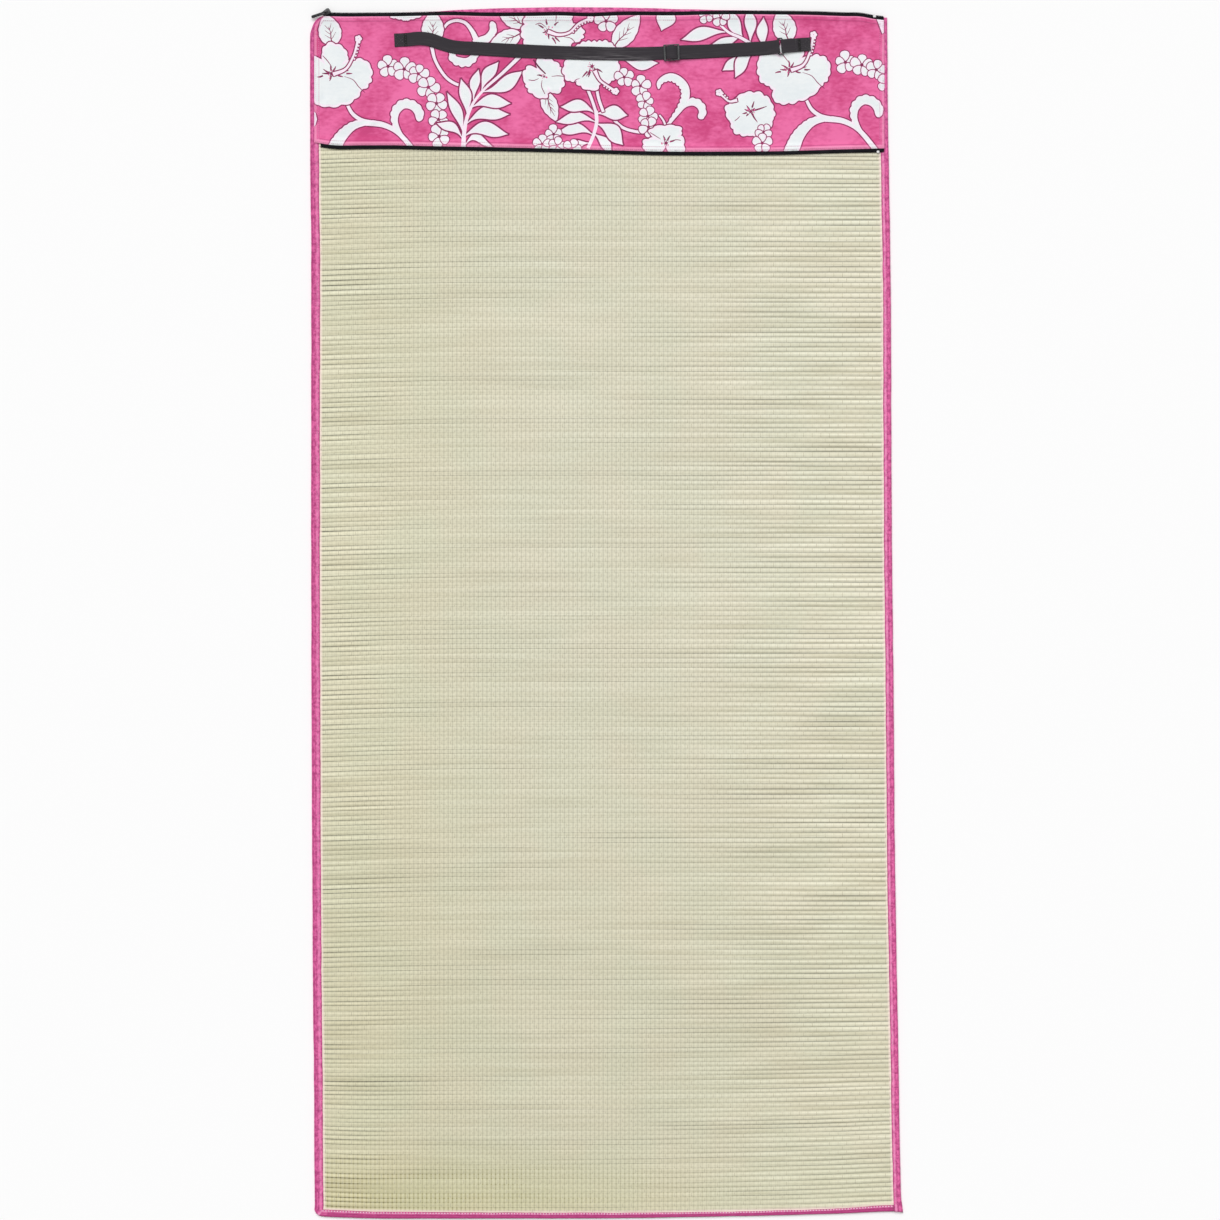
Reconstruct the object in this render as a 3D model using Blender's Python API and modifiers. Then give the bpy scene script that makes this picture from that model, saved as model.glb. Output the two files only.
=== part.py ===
"""A roll-up straw beach mat with a zip-up printed cover, lying open and flat.

The mat is a woven straw panel with pink tape folded over its edges. A printed cotton cover lies on its head end,
with half a zip under each long hem and a webbing carrying strap sewn across it. Rolled up, the mat is wrapped by
the cover and the two zip halves meet.

Frame: +X across the mat, +Y towards its head, +Z up. The origin is on the ground at the middle of the outline.
Sizes are in millimetres, and every point is turned into metres where its mesh is made.
"""

import math
from collections import namedtuple

import bmesh
import bpy
import numpy as np
from mathutils import Matrix, Vector

MM = 0.001

# The straw panel lies on the ground; its edge is pressed flat and held half-way up, inside the folded tape.
GAP = 0.3
TAPE_THICK = 1.0
STRAW_THICK = 3.0
EDGE_THICK = 1.0
EDGE_LOW = TAPE_THICK + GAP
FOLD_HIGH = EDGE_LOW + EDGE_THICK + GAP
BINDING_TOP = FOLD_HIGH + TAPE_THICK
FOLD_ROUND = 0.5
EDGE_INSET = TAPE_THICK + 0.6
LEFT_TAPE = 13.5
RIGHT_TAPE = 12.5
HEAD_TAPE = 10.0
BUTT_GAP = 0.5

# The cover and its zip halves.
ZIP_TAPE_LOW = BINDING_TOP + GAP
ZIP_TAPE_THICK = 0.8
ZIP_UNDER_HEM = 6.0
COIL_RADIUS = 0.8
COIL_GAP = 0.36
COIL_HIGH = ZIP_TAPE_LOW + COIL_RADIUS
HEAD_ZIP_SHOWS = 4.6
LOWER_ZIP_SHOWS = 6.0
COVER_THICK = 1.0
COVER_LOW = STRAW_THICK + GAP
COVER_HEM_LOW = ZIP_TAPE_LOW + ZIP_TAPE_THICK + GAP
COVER_LEFT = -431.0
COVER_RIGHT = 414.6
COVER_CORNER_INSET = 8.0

# The carrying strap, 20 mm webbing.
STRAP_WIDE = 20.0
STRAP_THICK = 1.0
STRAP_LOW = COVER_LOW + COVER_THICK + GAP
ONE_PLY = STRAP_LOW + STRAP_THICK / 2
PLY = STRAP_THICK + GAP
WIRE_RADIUS = 1.0
TURN_GAP = 0.35
RING_HIGH = ONE_PLY + STRAP_THICK / 2 + TURN_GAP + WIRE_RADIUS
RING_BARS_APART = 6.6
RING_HALF_HEIGHT = 12.0
RING_CORNER = 1.5
TURN_RADIUS = WIRE_RADIUS + TURN_GAP + STRAP_THICK / 2
ADJUSTER_LONG = 24.0
ADJUSTER_HIGH = 24.4
ADJUSTER_BAR = 3.2
ADJUSTER_MIDDLE_BAR = 3.0
ADJUSTER_RAIL = 1.6
ADJUSTER_THICK = 1.6
ADJUSTER_MIDDLE = 8.3
ADJUSTER_TILT = math.radians(7.1)
ADJUSTER_SHIFT = -0.2
RETURN_SHIFT = -0.5
STRAP_START_X = -313.5
ADJUSTER_X = 98.9
RING_X = 257.6
TAB_END_X = 306.3

# The slider at the left end of the head zip half, askew on its coil.
SLIDER_AT = (-414.6, 892.1)
SLIDER_TURN = math.radians(30)
SLIDER_LONG = 11.0
SLIDER_TOP = 7.4
PULL_LONG = 19.5
PULL_WIDE = 4.4
PULL_THICK = 1.0
PULL_HEADING = math.radians(196.5)
PULL_DROP = math.radians(11)
PULL_HIGH = 9.0
BAIL_REACH = 2.2
BAIL_RADIUS = 0.45
BAIL_TOP = 11.0

Side = namedtuple("Side", "y left right")
SIDES = (
    Side(-892, -433.0, 440.3),
    Side(-845, -433.6, 438.8),
    Side(-665, -434.6, 435.6),
    Side(-546, -436.0, 433.4),
    Side(-367, -437.0, 430.3),
    Side(-130, -438.0, 428.4),
    Side(50, -438.4, 426.2),
    Side(290, -438.5, 424.8),
    Side(525, -438.4, 423.6),
    Side(644, -439.6, 421.5),
    Side(763, -440.3, 419.5),
    Side(845, -440.0, 418.9),
    Side(888, -440.0, 418.3),
)
Foot = namedtuple("Foot", "x y tape")
FOOT = (
    Foot(-434, -896.0, 10.5),
    Foot(-418, -897.2, 10.5),
    Foot(-365, -899.4, 10.4),
    Foot(-275, -899.9, 9.5),
    Foot(-97, -899.9, 8.5),
    Foot(0, -899.6, 8.0),
    Foot(80, -898.6, 7.5),
    Foot(170, -897.0, 7.2),
    Foot(260, -895.0, 7.0),
    Foot(350, -892.4, 7.6),
    Foot(408, -889.9, 9.2),
    Foot(441, -889.3, 9.4),
)
Across = namedtuple("Across", "x y")
HEAD = (
    Across(-430, 886.8),
    Across(-400, 888.2),
    Across(-320, 889.6),
    Across(-265, 892.6),
    Across(-220, 896.0),
    Across(-175, 898.0),
    Across(-130, 899.2),
    Across(-40, 900.0),
    Across(45, 899.2),
    Across(90, 897.8),
    Across(135, 896.6),
    Across(225, 894.5),
    Across(290, 891.8),
    Across(360, 888.6),
    Across(400, 885.0),
    Across(420, 884.0),
)
HEAD_ZIP = (
    Across(-424, 889.5),
    Across(-380, 889.6),
    Across(-313, 890.4),
    Across(-223, 891.8),
    Across(-180, 890.6),
    Across(-112, 890.8),
    Across(-67, 891.5),
    Across(-23, 890.2),
    Across(22, 891.8),
    Across(110, 891.8),
    Across(155, 893.0),
    Across(270, 892.9),
    Across(312, 892.2),
    Across(356, 890.6),
    Across(378, 889.0),
    Across(400, 885.2),
    Across(414, 883.6),
)
LOWER_ZIP = (
    Across(-425, 694.8),
    Across(-410, 692.4),
    Across(-358, 691.6),
    Across(-312, 692.4),
    Across(-268, 691.2),
    Across(-179, 689.6),
    Across(-90, 687.7),
    Across(0, 685.2),
    Across(66, 683.4),
    Across(178, 683.0),
    Across(267, 683.7),
    Across(334, 685.8),
    Across(414, 687.0),
)
STRAP_LINE = (
    Across(-313.5, 850.6),
    Across(-293, 851.6),
    Across(-276, 853.1),
    Across(-260, 851.3),
    Across(-246, 846.6),
    Across(-232, 842.2),
    Across(-215, 839.4),
    Across(-198, 838.6),
    Across(-127, 834.7),
    Across(-32, 831.4),
    Across(63, 830.7),
    Across(99, 832.3),
    Across(146, 834.0),
    Across(194, 836.5),
    Across(241, 839.4),
    Across(265, 841.7),
    Across(306.5, 845.0),
)
Crease = namedtuple("Crease", "x y turn_deg long wide high")
CREASES = (
    Crease(386, 851, -48, 55, 13, 0.9),
    Crease(366, 866, -40, 34, 11, 0.6),
    Crease(-392, 731, 50, 60, 14, 0.8),
    Crease(-352, 724, 42, 44, 12, 0.6),
    Crease(-60, 777, 0, 190, 12, 0.5),
    Crease(150, 778, 0, 130, 12, 0.6),
    Crease(335, 776, 1, 120, 12, 0.5),
    Crease(-240, 800, 8, 90, 16, 0.5),
)


def smooth(rows, at, column="y"):
    """That column's value at a station, on a smooth curve through the rows; a row's first value is its station."""
    stations = np.array([row[0] for row in rows], float)
    values = np.array([getattr(row, column) for row in rows], float)
    slopes = np.gradient(values, stations)
    i = np.clip(np.searchsorted(stations, at) - 1, 0, len(stations) - 2)
    span = stations[i + 1] - stations[i]
    t = (at - stations[i]) / span
    rise = values[i + 1] - values[i]
    bend = (slopes[i] * span - rise) * (1 - t) - (slopes[i + 1] * span - rise) * t
    return values[i] + rise * t + bend * t * (1 - t)


def left_edge(y):
    return smooth(SIDES, y, "left")


def right_edge(y):
    return smooth(SIDES, y, "right")


def foot_edge(x):
    return smooth(FOOT, x)


def foot_tape(x):
    return smooth(FOOT, x, "tape")


def head_edge(x):
    return smooth(HEAD, x)


def stations(first, last, spacing):
    """Evenly spaced values from first to last, at most that far apart."""
    return np.linspace(first, last, max(2, math.ceil(abs(last - first) / spacing) + 1))


def eased(value):
    """0 below 0, 1 above 1, and smooth between them."""
    t = np.clip(value, 0, 1)
    return t * t * (3 - 2 * t)


def finish(obj, collection, material):
    collection.objects.link(obj)
    obj.data.materials.clear()
    obj.data.materials.append(material)
    return obj


def material(name, colour, roughness, metallic=0.0):
    made = bpy.data.materials.new(name)
    made.use_nodes = True
    shader = made.node_tree.nodes["Principled BSDF"]
    shader.inputs["Base Color"].default_value = (*colour, 1)
    shader.inputs["Roughness"].default_value = roughness
    shader.inputs["Metallic"].default_value = metallic
    return made


def loft(name, rings):
    """A closed solid through rings of the same number of points, flat at its two ends."""
    bm = bmesh.new()
    loops = [[bm.verts.new(Vector(point) * MM) for point in ring] for ring in rings]
    count = len(loops[0])
    for here, there in zip(loops, loops[1:]):
        for k in range(count):
            bm.faces.new((here[k], here[(k + 1) % count], there[(k + 1) % count], there[k]))
    bm.faces.new(loops[0])
    bm.faces.new(loops[-1])
    bmesh.ops.recalc_face_normals(bm, faces=bm.faces)
    mesh = bpy.data.meshes.new(name)
    bm.to_mesh(mesh)
    bm.free()
    return bpy.data.objects.new(name, mesh)


def laid_sheet(name, place, columns, rows, thick):
    """A sheet whose underside is at place(column, row), given its thickness upwards by Solidify."""
    bm = bmesh.new()
    bmesh.ops.create_grid(bm, x_segments=len(columns) - 1, y_segments=len(rows) - 1, size=1)
    for vert in bm.verts:
        column = columns[round((vert.co.x + 1) / 2 * (len(columns) - 1))]
        row = rows[round((vert.co.y + 1) / 2 * (len(rows) - 1))]
        vert.co = Vector(place(column, row)) * MM
    mesh = bpy.data.meshes.new(name)
    bm.to_mesh(mesh)
    bm.free()
    obj = bpy.data.objects.new(name, mesh)
    solidify = obj.modifiers.new("thickness", "SOLIDIFY")
    solidify.thickness = thick * MM
    solidify.offset = 1
    return obj


def flat_plate(name, outlines, thick):
    """A plate with those outlines, the first its edge and the others holes in it, centred on its own plane."""
    curve = bpy.data.curves.new(name, "CURVE")
    curve.dimensions = "2D"
    curve.fill_mode = "BOTH"
    curve.extrude = thick * MM / 2
    for outline in outlines:
        spline = curve.splines.new("POLY")
        spline.points.add(len(outline) - 1)
        for point, (x, y) in zip(spline.points, outline):
            point.co = (x * MM, y * MM, 0, 1)
        spline.use_cyclic_u = True
    return bpy.data.objects.new(name, curve)


def tube(name, route, radius, closed=False):
    curve = bpy.data.curves.new(name, "CURVE")
    curve.dimensions = "3D"
    curve.bevel_depth = radius * MM
    curve.bevel_resolution = 2
    curve.use_fill_caps = not closed
    spline = curve.splines.new("POLY")
    spline.points.add(len(route) - 1)
    for point, place in zip(spline.points, route):
        point.co = (*(Vector(place) * MM), 1)
    spline.use_cyclic_u = closed
    return bpy.data.objects.new(name, curve)


def as_mesh(curve_object):
    """The curve object's solid as a mesh object, with its loose caps welded on."""
    collection = bpy.context.scene.collection
    collection.objects.link(curve_object)
    bpy.context.view_layer.update()
    evaluated = curve_object.evaluated_get(bpy.context.evaluated_depsgraph_get())
    mesh = bpy.data.meshes.new_from_object(evaluated)
    bm = bmesh.new()
    bm.from_mesh(mesh)
    bmesh.ops.remove_doubles(bm, verts=bm.verts, dist=1e-6)
    bm.to_mesh(mesh)
    bm.free()
    name = curve_object.name
    place = curve_object.matrix_world.copy()
    bpy.data.objects.remove(curve_object)
    obj = bpy.data.objects.new(name, mesh)
    obj.matrix_world = place
    return obj


def join(obj, other, cutters):
    """Adds the other solid to obj with a Boolean; the other is only its helper."""
    cutters.objects.link(other)
    other.hide_render = True
    other.display_type = "WIRE"
    union = obj.modifiers.new("join " + other.name, "BOOLEAN")
    union.operation = "UNION"
    union.solver = "EXACT"
    union.object = other


def straw_mat(cutters):
    """The woven panel: its full thickness inside the tapes, and a thin pressed edge all round under them."""
    edge = EDGE_INSET
    field = TAPE_THICK / 2
    pressed = [(x, foot_edge(x) + edge) for x in stations(-416, 436, 60)]
    pressed += [(right_edge(y) - edge, y) for y in stations(-885, 878, 120)]
    pressed += [(x, head_edge(x) - edge) for x in stations(414, -408, 50)]
    pressed += [(left_edge(y) + edge, y) for y in stations(850, -878, 120)]
    thick = [(x, foot_edge(x) + foot_tape(x) + field) for x in stations(-415, 426, 60)]
    thick += [(right_edge(y) - RIGHT_TAPE - field, y) for y in stations(-877, 871, 120)]
    thick += [(x, head_edge(x) - HEAD_TAPE - field) for x in stations(404, -420, 50)]
    thick += [(left_edge(y) + LEFT_TAPE + field, y) for y in stations(870, -882, 120)]
    mat = as_mesh(flat_plate("straw_mat", [thick], STRAW_THICK))
    mat.location.z = STRAW_THICK / 2 * MM
    edge_sheet = as_mesh(flat_plate("pressed_edge", [pressed], EDGE_THICK))
    edge_sheet.location.z = (EDGE_LOW + EDGE_THICK / 2) * MM
    join(mat, edge_sheet, cutters)
    return mat


def folded_tape(name, pairs):
    """Tape folded over the mat's edge, through pairs of (point on the fold, point on the inner edge)."""
    rings = []
    for fold, inner in pairs:
        fold, inner = Vector(fold), Vector(inner)
        inward = (inner - fold).normalized()
        rounded = fold + inward * FOLD_ROUND
        web = fold + inward * TAPE_THICK
        rings.append(
            [
                (*rounded, 0),
                (*inner, 0),
                (*inner, TAPE_THICK),
                (*web, TAPE_THICK),
                (*web, FOLD_HIGH),
                (*inner, FOLD_HIGH),
                (*inner, BINDING_TOP),
                (*rounded, BINDING_TOP),
                (*fold, BINDING_TOP - FOLD_ROUND),
                (*fold, FOLD_ROUND),
            ]
        )
    return loft(name, rings)


def corner_fan(folds, corner, radius=1.0):
    """Pairs round a corner: each fold point with the inner edge's point on a small round about that corner."""
    middle = Vector(corner)
    return [(fold, middle + (Vector(fold) - middle).normalized() * radius) for fold in folds]


def binding_left_foot():
    """From the head down the left edge, round the mitred foot corner and along the foot to the right tape."""
    head_corner = ((-418, 887.2), (-424, 885.6), (-430, 881.6), (-434.4, 875), (-437.2, 867))
    foot_corner = ((-432.6, -887), (-429.8, -892.4), (-424.5, -896), (-418, -897.2))
    end = right_edge(-886) - RIGHT_TAPE - BUTT_GAP
    pairs = [((x, head_edge(x)), (x, head_edge(x) - HEAD_TAPE)) for x in (-404, -411)]
    pairs += corner_fan(head_corner, (-425.5, 876))
    for y in stations(858, -876, 110):
        pairs.append(((left_edge(y), y), (left_edge(y) + LEFT_TAPE, y)))
    pairs += corner_fan(foot_corner, (-418.6, -885.6))
    for x in stations(-406, end, 52):
        pairs.append(((x, foot_edge(x)), (x, foot_edge(x) + foot_tape(x))))
    return folded_tape("binding_left_foot", pairs)


def binding_right():
    """From the head to its cut end just past the foot."""
    pairs = []
    for y in stations(884.6, -889.4, 110):
        slant = 1.2 if y < -880 else 0
        pairs.append(((right_edge(y), y - slant), (right_edge(y) - RIGHT_TAPE, y)))
    return folded_tape("binding_right", pairs)


def binding_head():
    """Along the head edge between the two side tapes."""
    end = right_edge(876) - RIGHT_TAPE - BUTT_GAP
    pairs = []
    for x in stations(-404 + GAP, end, 38):
        pairs.append(((x, head_edge(x)), (x, head_edge(x) - HEAD_TAPE)))
    return folded_tape("binding_head", pairs)


def cover_left(y):
    """The cover's left hem: straight, and drawn in round the mat's rounded head corner."""
    return COVER_LEFT + (COVER_CORNER_INSET + 6) * eased((y - 862) / 30) ** 1.5


def cover_lower(x):
    return smooth(LOWER_ZIP, x) + LOWER_ZIP_SHOWS / 2


def cover_upper(x):
    return smooth(HEAD_ZIP, x) - HEAD_ZIP_SHOWS / 2


def crease_height(x, y):
    """How far the cover's soft creases lift it at a point."""
    lift = 0.0
    for crease in CREASES:
        turn = math.radians(crease.turn_deg)
        along = (x - crease.x) * math.cos(turn) + (y - crease.y) * math.sin(turn)
        across = (y - crease.y) * math.cos(turn) - (x - crease.x) * math.sin(turn)
        taper = 1 - eased(abs(along) / (crease.long / 2))
        lift = max(lift, crease.high * taper * math.exp(-((2 * across / crease.wide) ** 2)))
    return lift


def cover_height(x, y):
    """The cover's underside: on the straw, up over the side tapes and over the zip tapes under its hems."""
    to_hem = min(y - cover_lower(x), cover_upper(x) - y)
    over_zip = 1 - eased((to_hem - ZIP_UNDER_HEM - 1) / 6)
    over_head_tape = 1 - eased((cover_upper(x) - y - 12) / 6)
    to_side = min(x - left_edge(y) - LEFT_TAPE, right_edge(y) - RIGHT_TAPE - x)
    over_side_tape = 1 - eased((to_side - 2) / 7)
    on_tape = (BINDING_TOP - STRAW_THICK) * max(over_side_tape, over_head_tape)
    on_zip = (COVER_HEM_LOW - COVER_LOW) * over_zip
    return COVER_LOW + max(on_tape, on_zip, crease_height(x, y))


def head_panel():
    """The hemmed cotton cover."""
    near_side = np.array((0, 3, 6, 9, 13, 18))
    near_hem = np.array((0, 3.5, 7, 10, 13, 16, 20))
    wide = COVER_RIGHT - COVER_LEFT
    deep = cover_upper(0) - cover_lower(0)
    columns = np.concatenate([near_side, stations(18, wide - 18, 21)[1:-1], wide - near_side[::-1]])
    rows = np.concatenate([near_hem, stations(20, deep - 20, 17)[1:-1], deep - near_hem[::-1]])

    def place(column, row):
        left = cover_left(cover_lower(0) + row)
        x = left + (COVER_RIGHT - left) * column / wide
        y = cover_lower(x) + (cover_upper(x) - cover_lower(x)) * row / deep
        return x, y, cover_height(x, y)

    return laid_sheet("head_panel", place, columns, rows, COVER_THICK)


def zip_half(name, line, shows, outward, first, last):
    """A zip half's woven tape and its coil. outward is +1 towards the head and -1 towards the foot."""
    to_hem = -outward * (shows / 2 + ZIP_UNDER_HEM)
    to_coil = outward * (shows / 2 - 2 * COIL_RADIUS - COIL_GAP)
    low, high = sorted((to_hem, to_coil))
    columns = stations(first + 1, last, 26)

    def place(x, row):
        return x, smooth(line, x) + row, ZIP_TAPE_LOW

    tape = laid_sheet(name + "_tape", place, columns, (low, high), ZIP_TAPE_THICK)
    coil_off = outward * (shows / 2 - COIL_RADIUS)
    route = [(x, smooth(line, x) + coil_off, COIL_HIGH) for x in stations(first, last - 1, 26)]
    return tape, tube(name + "_coil", route, COIL_RADIUS)


def zip_slider(cutters):
    """The slider's body, a channel open towards the mat, with the wire bail that holds the pull."""
    half = 4.0
    cheek = 1.2
    channel_low, channel_high = 3.6, 6.3
    profile = [
        (-half, SLIDER_TOP),
        (-half, channel_high),
        (cheek, channel_high),
        (cheek, channel_low),
        (-0.8, channel_low),
        (-0.8, 2.6),
        (half, 2.6),
        (half, SLIDER_TOP),
    ]
    along = Vector((math.cos(SLIDER_TURN), math.sin(SLIDER_TURN), 0))
    across = Vector((-math.sin(SLIDER_TURN), math.cos(SLIDER_TURN), 0))
    middle = Vector((*SLIDER_AT, 0)) * MM
    turned = Matrix((across, Vector((0, 0, 1)), along)).transposed().to_4x4()
    body = flat_plate("zip_slider", [profile], SLIDER_LONG)
    body.matrix_world = Matrix.Translation(middle) @ turned
    body = as_mesh(body)
    arch = [(-BAIL_REACH, 0, SLIDER_TOP - 0.6)]
    for step in range(7):
        angle = math.pi * (1 - step / 6)
        rise = (BAIL_TOP - PULL_HIGH) * math.sin(angle)
        arch.append((BAIL_REACH * math.cos(angle), 0, PULL_HIGH + rise))
    arch.append((BAIL_REACH, 0, SLIDER_TOP - 0.6))
    bail = as_mesh(tube("bail", arch, BAIL_RADIUS))
    bail.matrix_world = Matrix.Translation(middle) @ Matrix.Rotation(SLIDER_TURN, 4, "Z")
    join(body, bail, cutters)
    return body


def zip_pull():
    """The pull tab, its eye round the bail's near leg."""
    half = PULL_WIDE / 2
    nose = [(math.sin(a) * half, math.cos(a) * half) for a in np.linspace(0, math.pi, 7)]
    outline = [(-x, y) for x, y in nose]
    outline += [(x + PULL_LONG - half, y) for x, y in nose[::-1]]
    eye = [(math.cos(a), math.sin(a)) for a in np.linspace(0, 2 * math.pi, 12, endpoint=False)]
    pull = flat_plate("zip_pull", [outline, eye], PULL_THICK)
    leg = Matrix.Rotation(SLIDER_TURN, 2) @ Vector((-BAIL_REACH, 0))
    place = Vector((SLIDER_AT[0] + leg.x, SLIDER_AT[1] + leg.y, PULL_HIGH)) * MM
    pull.matrix_world = (
        Matrix.Translation(place)
        @ Matrix.Rotation(PULL_HEADING, 4, "Z")
        @ Matrix.Rotation(PULL_DROP, 4, "Y")
    )
    return pull


def zip_stop(name, x, y, long):
    """A small end fitting over the coil."""
    bpy.ops.mesh.primitive_cube_add(size=1)
    stop = bpy.context.object
    for collection in list(stop.users_collection):
        collection.objects.unlink(stop)
    stop.name = name
    thick = 0.9
    size = Matrix.Diagonal((long * MM, 3.4 * MM, thick * MM, 1))
    stop.data.transform(size)
    stop.location = Vector((x, y, COIL_HIGH + COIL_RADIUS + GAP + thick / 2)) * MM
    bevel = stop.modifiers.new("rounded", "BEVEL")
    bevel.width = 0.25 * MM
    bevel.segments = 2
    return stop


class StrapLine:
    """The strap's middle line seen from above: places by their distance from its sewn left end."""

    def __init__(self):
        self.x = np.linspace(STRAP_START_X, TAB_END_X + 2, 800)
        self.y = smooth(STRAP_LINE, self.x)
        steps = np.hypot(np.diff(self.x), np.diff(self.y))
        self.along = np.concatenate([[0], np.cumsum(steps)])
        self.slope = np.gradient(self.y, self.x)

    def distance(self, x):
        return float(np.interp(x, self.x, self.along))

    def heading(self, along):
        return math.atan(float(np.interp(along, self.along, self.slope)))

    def place(self, along, aside, z):
        x = float(np.interp(along, self.along, self.x))
        y = float(np.interp(along, self.along, self.y))
        turn = self.heading(along)
        return x - aside * math.sin(turn), y + aside * math.cos(turn), z


def ribbon(name, line, path):
    """Webbing along a path of (distance, height, sideways shift), its thickness square to the path."""
    fine = [path[0]]
    for here, there in zip(path, path[1:]):
        count = max(1, math.ceil(abs(there[0] - here[0]) / 16))
        for k in range(1, count + 1):
            fine.append(tuple(a + (b - a) * k / count for a, b in zip(here, there)))
    points = np.array(fine, float)
    tangent = np.gradient(points[:, :2], axis=0)
    tangent /= np.linalg.norm(tangent, axis=1)[:, None]
    half = STRAP_THICK / 2
    rings = []
    for (along, z, shift), (run, rise) in zip(points, tangent):
        ring = []
        for side, face in ((-1, 1), (1, 1), (1, -1), (-1, -1)):
            ring.append(
                line.place(
                    along - rise * half * face,
                    shift + side * STRAP_WIDE / 2,
                    z + run * half * face,
                )
            )
        rings.append(ring)
    return loft(name, rings)


def turn_round(at, high, outward):
    """The strap's half turn round a ring bar, from above it to below it."""
    turn = []
    for degrees in range(60, -90, -30):
        angle = math.radians(degrees)
        reach = outward * TURN_RADIUS * math.cos(angle)
        turn.append((at + reach, high + TURN_RADIUS * math.sin(angle)))
    return turn


def strap(line):
    """From the sewn left end through the adjuster to the ring, round it, back and round the middle bar."""
    two_plies = ONE_PLY + PLY
    three_plies = ONE_PLY + 2 * PLY
    over_ring = RING_HIGH + TURN_RADIUS
    adjuster = line.distance(ADJUSTER_X)
    ring = line.distance(RING_X)
    sewn_end = ((0, ONE_PLY), (20, ONE_PLY), (23, 6.0), (27, 6.6), (36, 6.8), (47, 6.4), (60, 5.5), (72, ONE_PLY))
    over_adjuster = (
        (-16, ONE_PLY),
        (-9.6, 5.15),
        (-8, 5.5),
        (-6.5, 6.7),
        (-5.2, 8.2),
        (-4.0, 9.8),
        (-2.7, 11.0),
        (-1.0, 11.5),
        (1.2, 11.5),
        (3.0, 11.05),
        (4.8, 10.1),
        (6.6, 8.95),
        (8.3, 7.85),
        (10, three_plies),
        (28, three_plies),
        (34, 6.9),
        (40, two_plies),
    )
    to_ring = ((-16, two_plies), (-9, 7.1), (-4, 8.3), (-1.5, over_ring), (0, over_ring))
    round_middle_bar = (
        (16, ONE_PLY),
        (8, ONE_PLY),
        (5.2, 5.4),
        (3.0, 6.0),
        (1.0, 6.4),
        (-1.4, 6.42),
        (-2.03, 6.7),
        (-2.3, 7.32),
        (-2.5, 8.9),
        (-2.24, 9.55),
        (-1.6, 9.85),
        (1.4, 10.2),
        (2.15, 9.95),
        (3.8, 8.75),
        (6.0, 7.3),
        (8.5, 6.45),
        (12, two_plies),
        (28, two_plies),
    )
    path = [(along, z, 0) for along, z in sewn_end]
    path += [(adjuster + along, z, 0) for along, z in over_adjuster]
    path += [(ring + along, z, 0) for along, z in to_ring]
    path += [(along, z, 0) for along, z in turn_round(ring, RING_HIGH, 1)]
    path += [(ring, ONE_PLY, 0), (ring - 12, ONE_PLY, RETURN_SHIFT)]
    path += [(adjuster + along, z, RETURN_SHIFT) for along, z in round_middle_bar]
    return ribbon("strap", line, path)


def strap_tab(line):
    """The short tab folded round the ring's other bar, both its ends sewn down together."""
    bar = line.distance(RING_X) + RING_BARS_APART
    end = line.distance(TAB_END_X)
    over_ring = RING_HIGH + TURN_RADIUS
    upper = ((end, ONE_PLY + PLY), (bar + 16, ONE_PLY + PLY), (bar + 9, 7.1), (bar + 4, 8.3), (bar + 1.5, over_ring))
    path = [(along, z, 0) for along, z in upper]
    path += [(bar, over_ring, 0)]
    path += [(along, z, 0) for along, z in turn_round(bar, RING_HIGH, -1)]
    path += [(bar, ONE_PLY, 0), (end, ONE_PLY, 0)]
    return ribbon("strap_tab", line, path)


def strap_ring(line):
    """A rectangular wire ring, its two long bars held by the strap and the tab."""
    first = line.distance(RING_X)
    middle = first + RING_BARS_APART / 2
    route = []
    for side_x, side_y, start in ((1, 1, 0), (-1, 1, 90), (-1, -1, 180), (1, -1, 270)):
        for degrees in (start, start + 30, start + 60, start + 90):
            angle = math.radians(degrees)
            along = middle + side_x * (RING_BARS_APART / 2 - RING_CORNER) + RING_CORNER * math.cos(angle)
            aside = side_y * (RING_HALF_HEIGHT - RING_CORNER) + RING_CORNER * math.sin(angle)
            route.append(line.place(along, aside, RING_HIGH))
    return tube("strap_ring", route, WIRE_RADIUS, closed=True)


def box_outline(x, y, wide, high):
    return [(x + i * wide / 2, y + j * high / 2) for i, j in ((-1, -1), (1, -1), (1, 1), (-1, 1))]


def strap_adjuster(line):
    """A three-bar slide adjuster, tilted by the plies that pass under its right bar."""
    slot = (ADJUSTER_LONG - 2 * ADJUSTER_BAR - ADJUSTER_MIDDLE_BAR) / 2
    slot_middle = (slot + ADJUSTER_MIDDLE_BAR) / 2
    slot_high = ADJUSTER_HIGH - 2 * ADJUSTER_RAIL
    outlines = [box_outline(0, 0, ADJUSTER_LONG, ADJUSTER_HIGH)]
    outlines += [box_outline(side * slot_middle, 0, slot, slot_high) for side in (-1, 1)]
    plate = flat_plate("strap_adjuster", outlines, ADJUSTER_THICK)
    along = line.distance(ADJUSTER_X)
    place = Vector(line.place(along, ADJUSTER_SHIFT, ADJUSTER_MIDDLE)) * MM
    plate.matrix_world = (
        Matrix.Translation(place)
        @ Matrix.Rotation(line.heading(along), 4, "Z")
        @ Matrix.Rotation(-ADJUSTER_TILT, 4, "Y")
    )
    return plate


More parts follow.
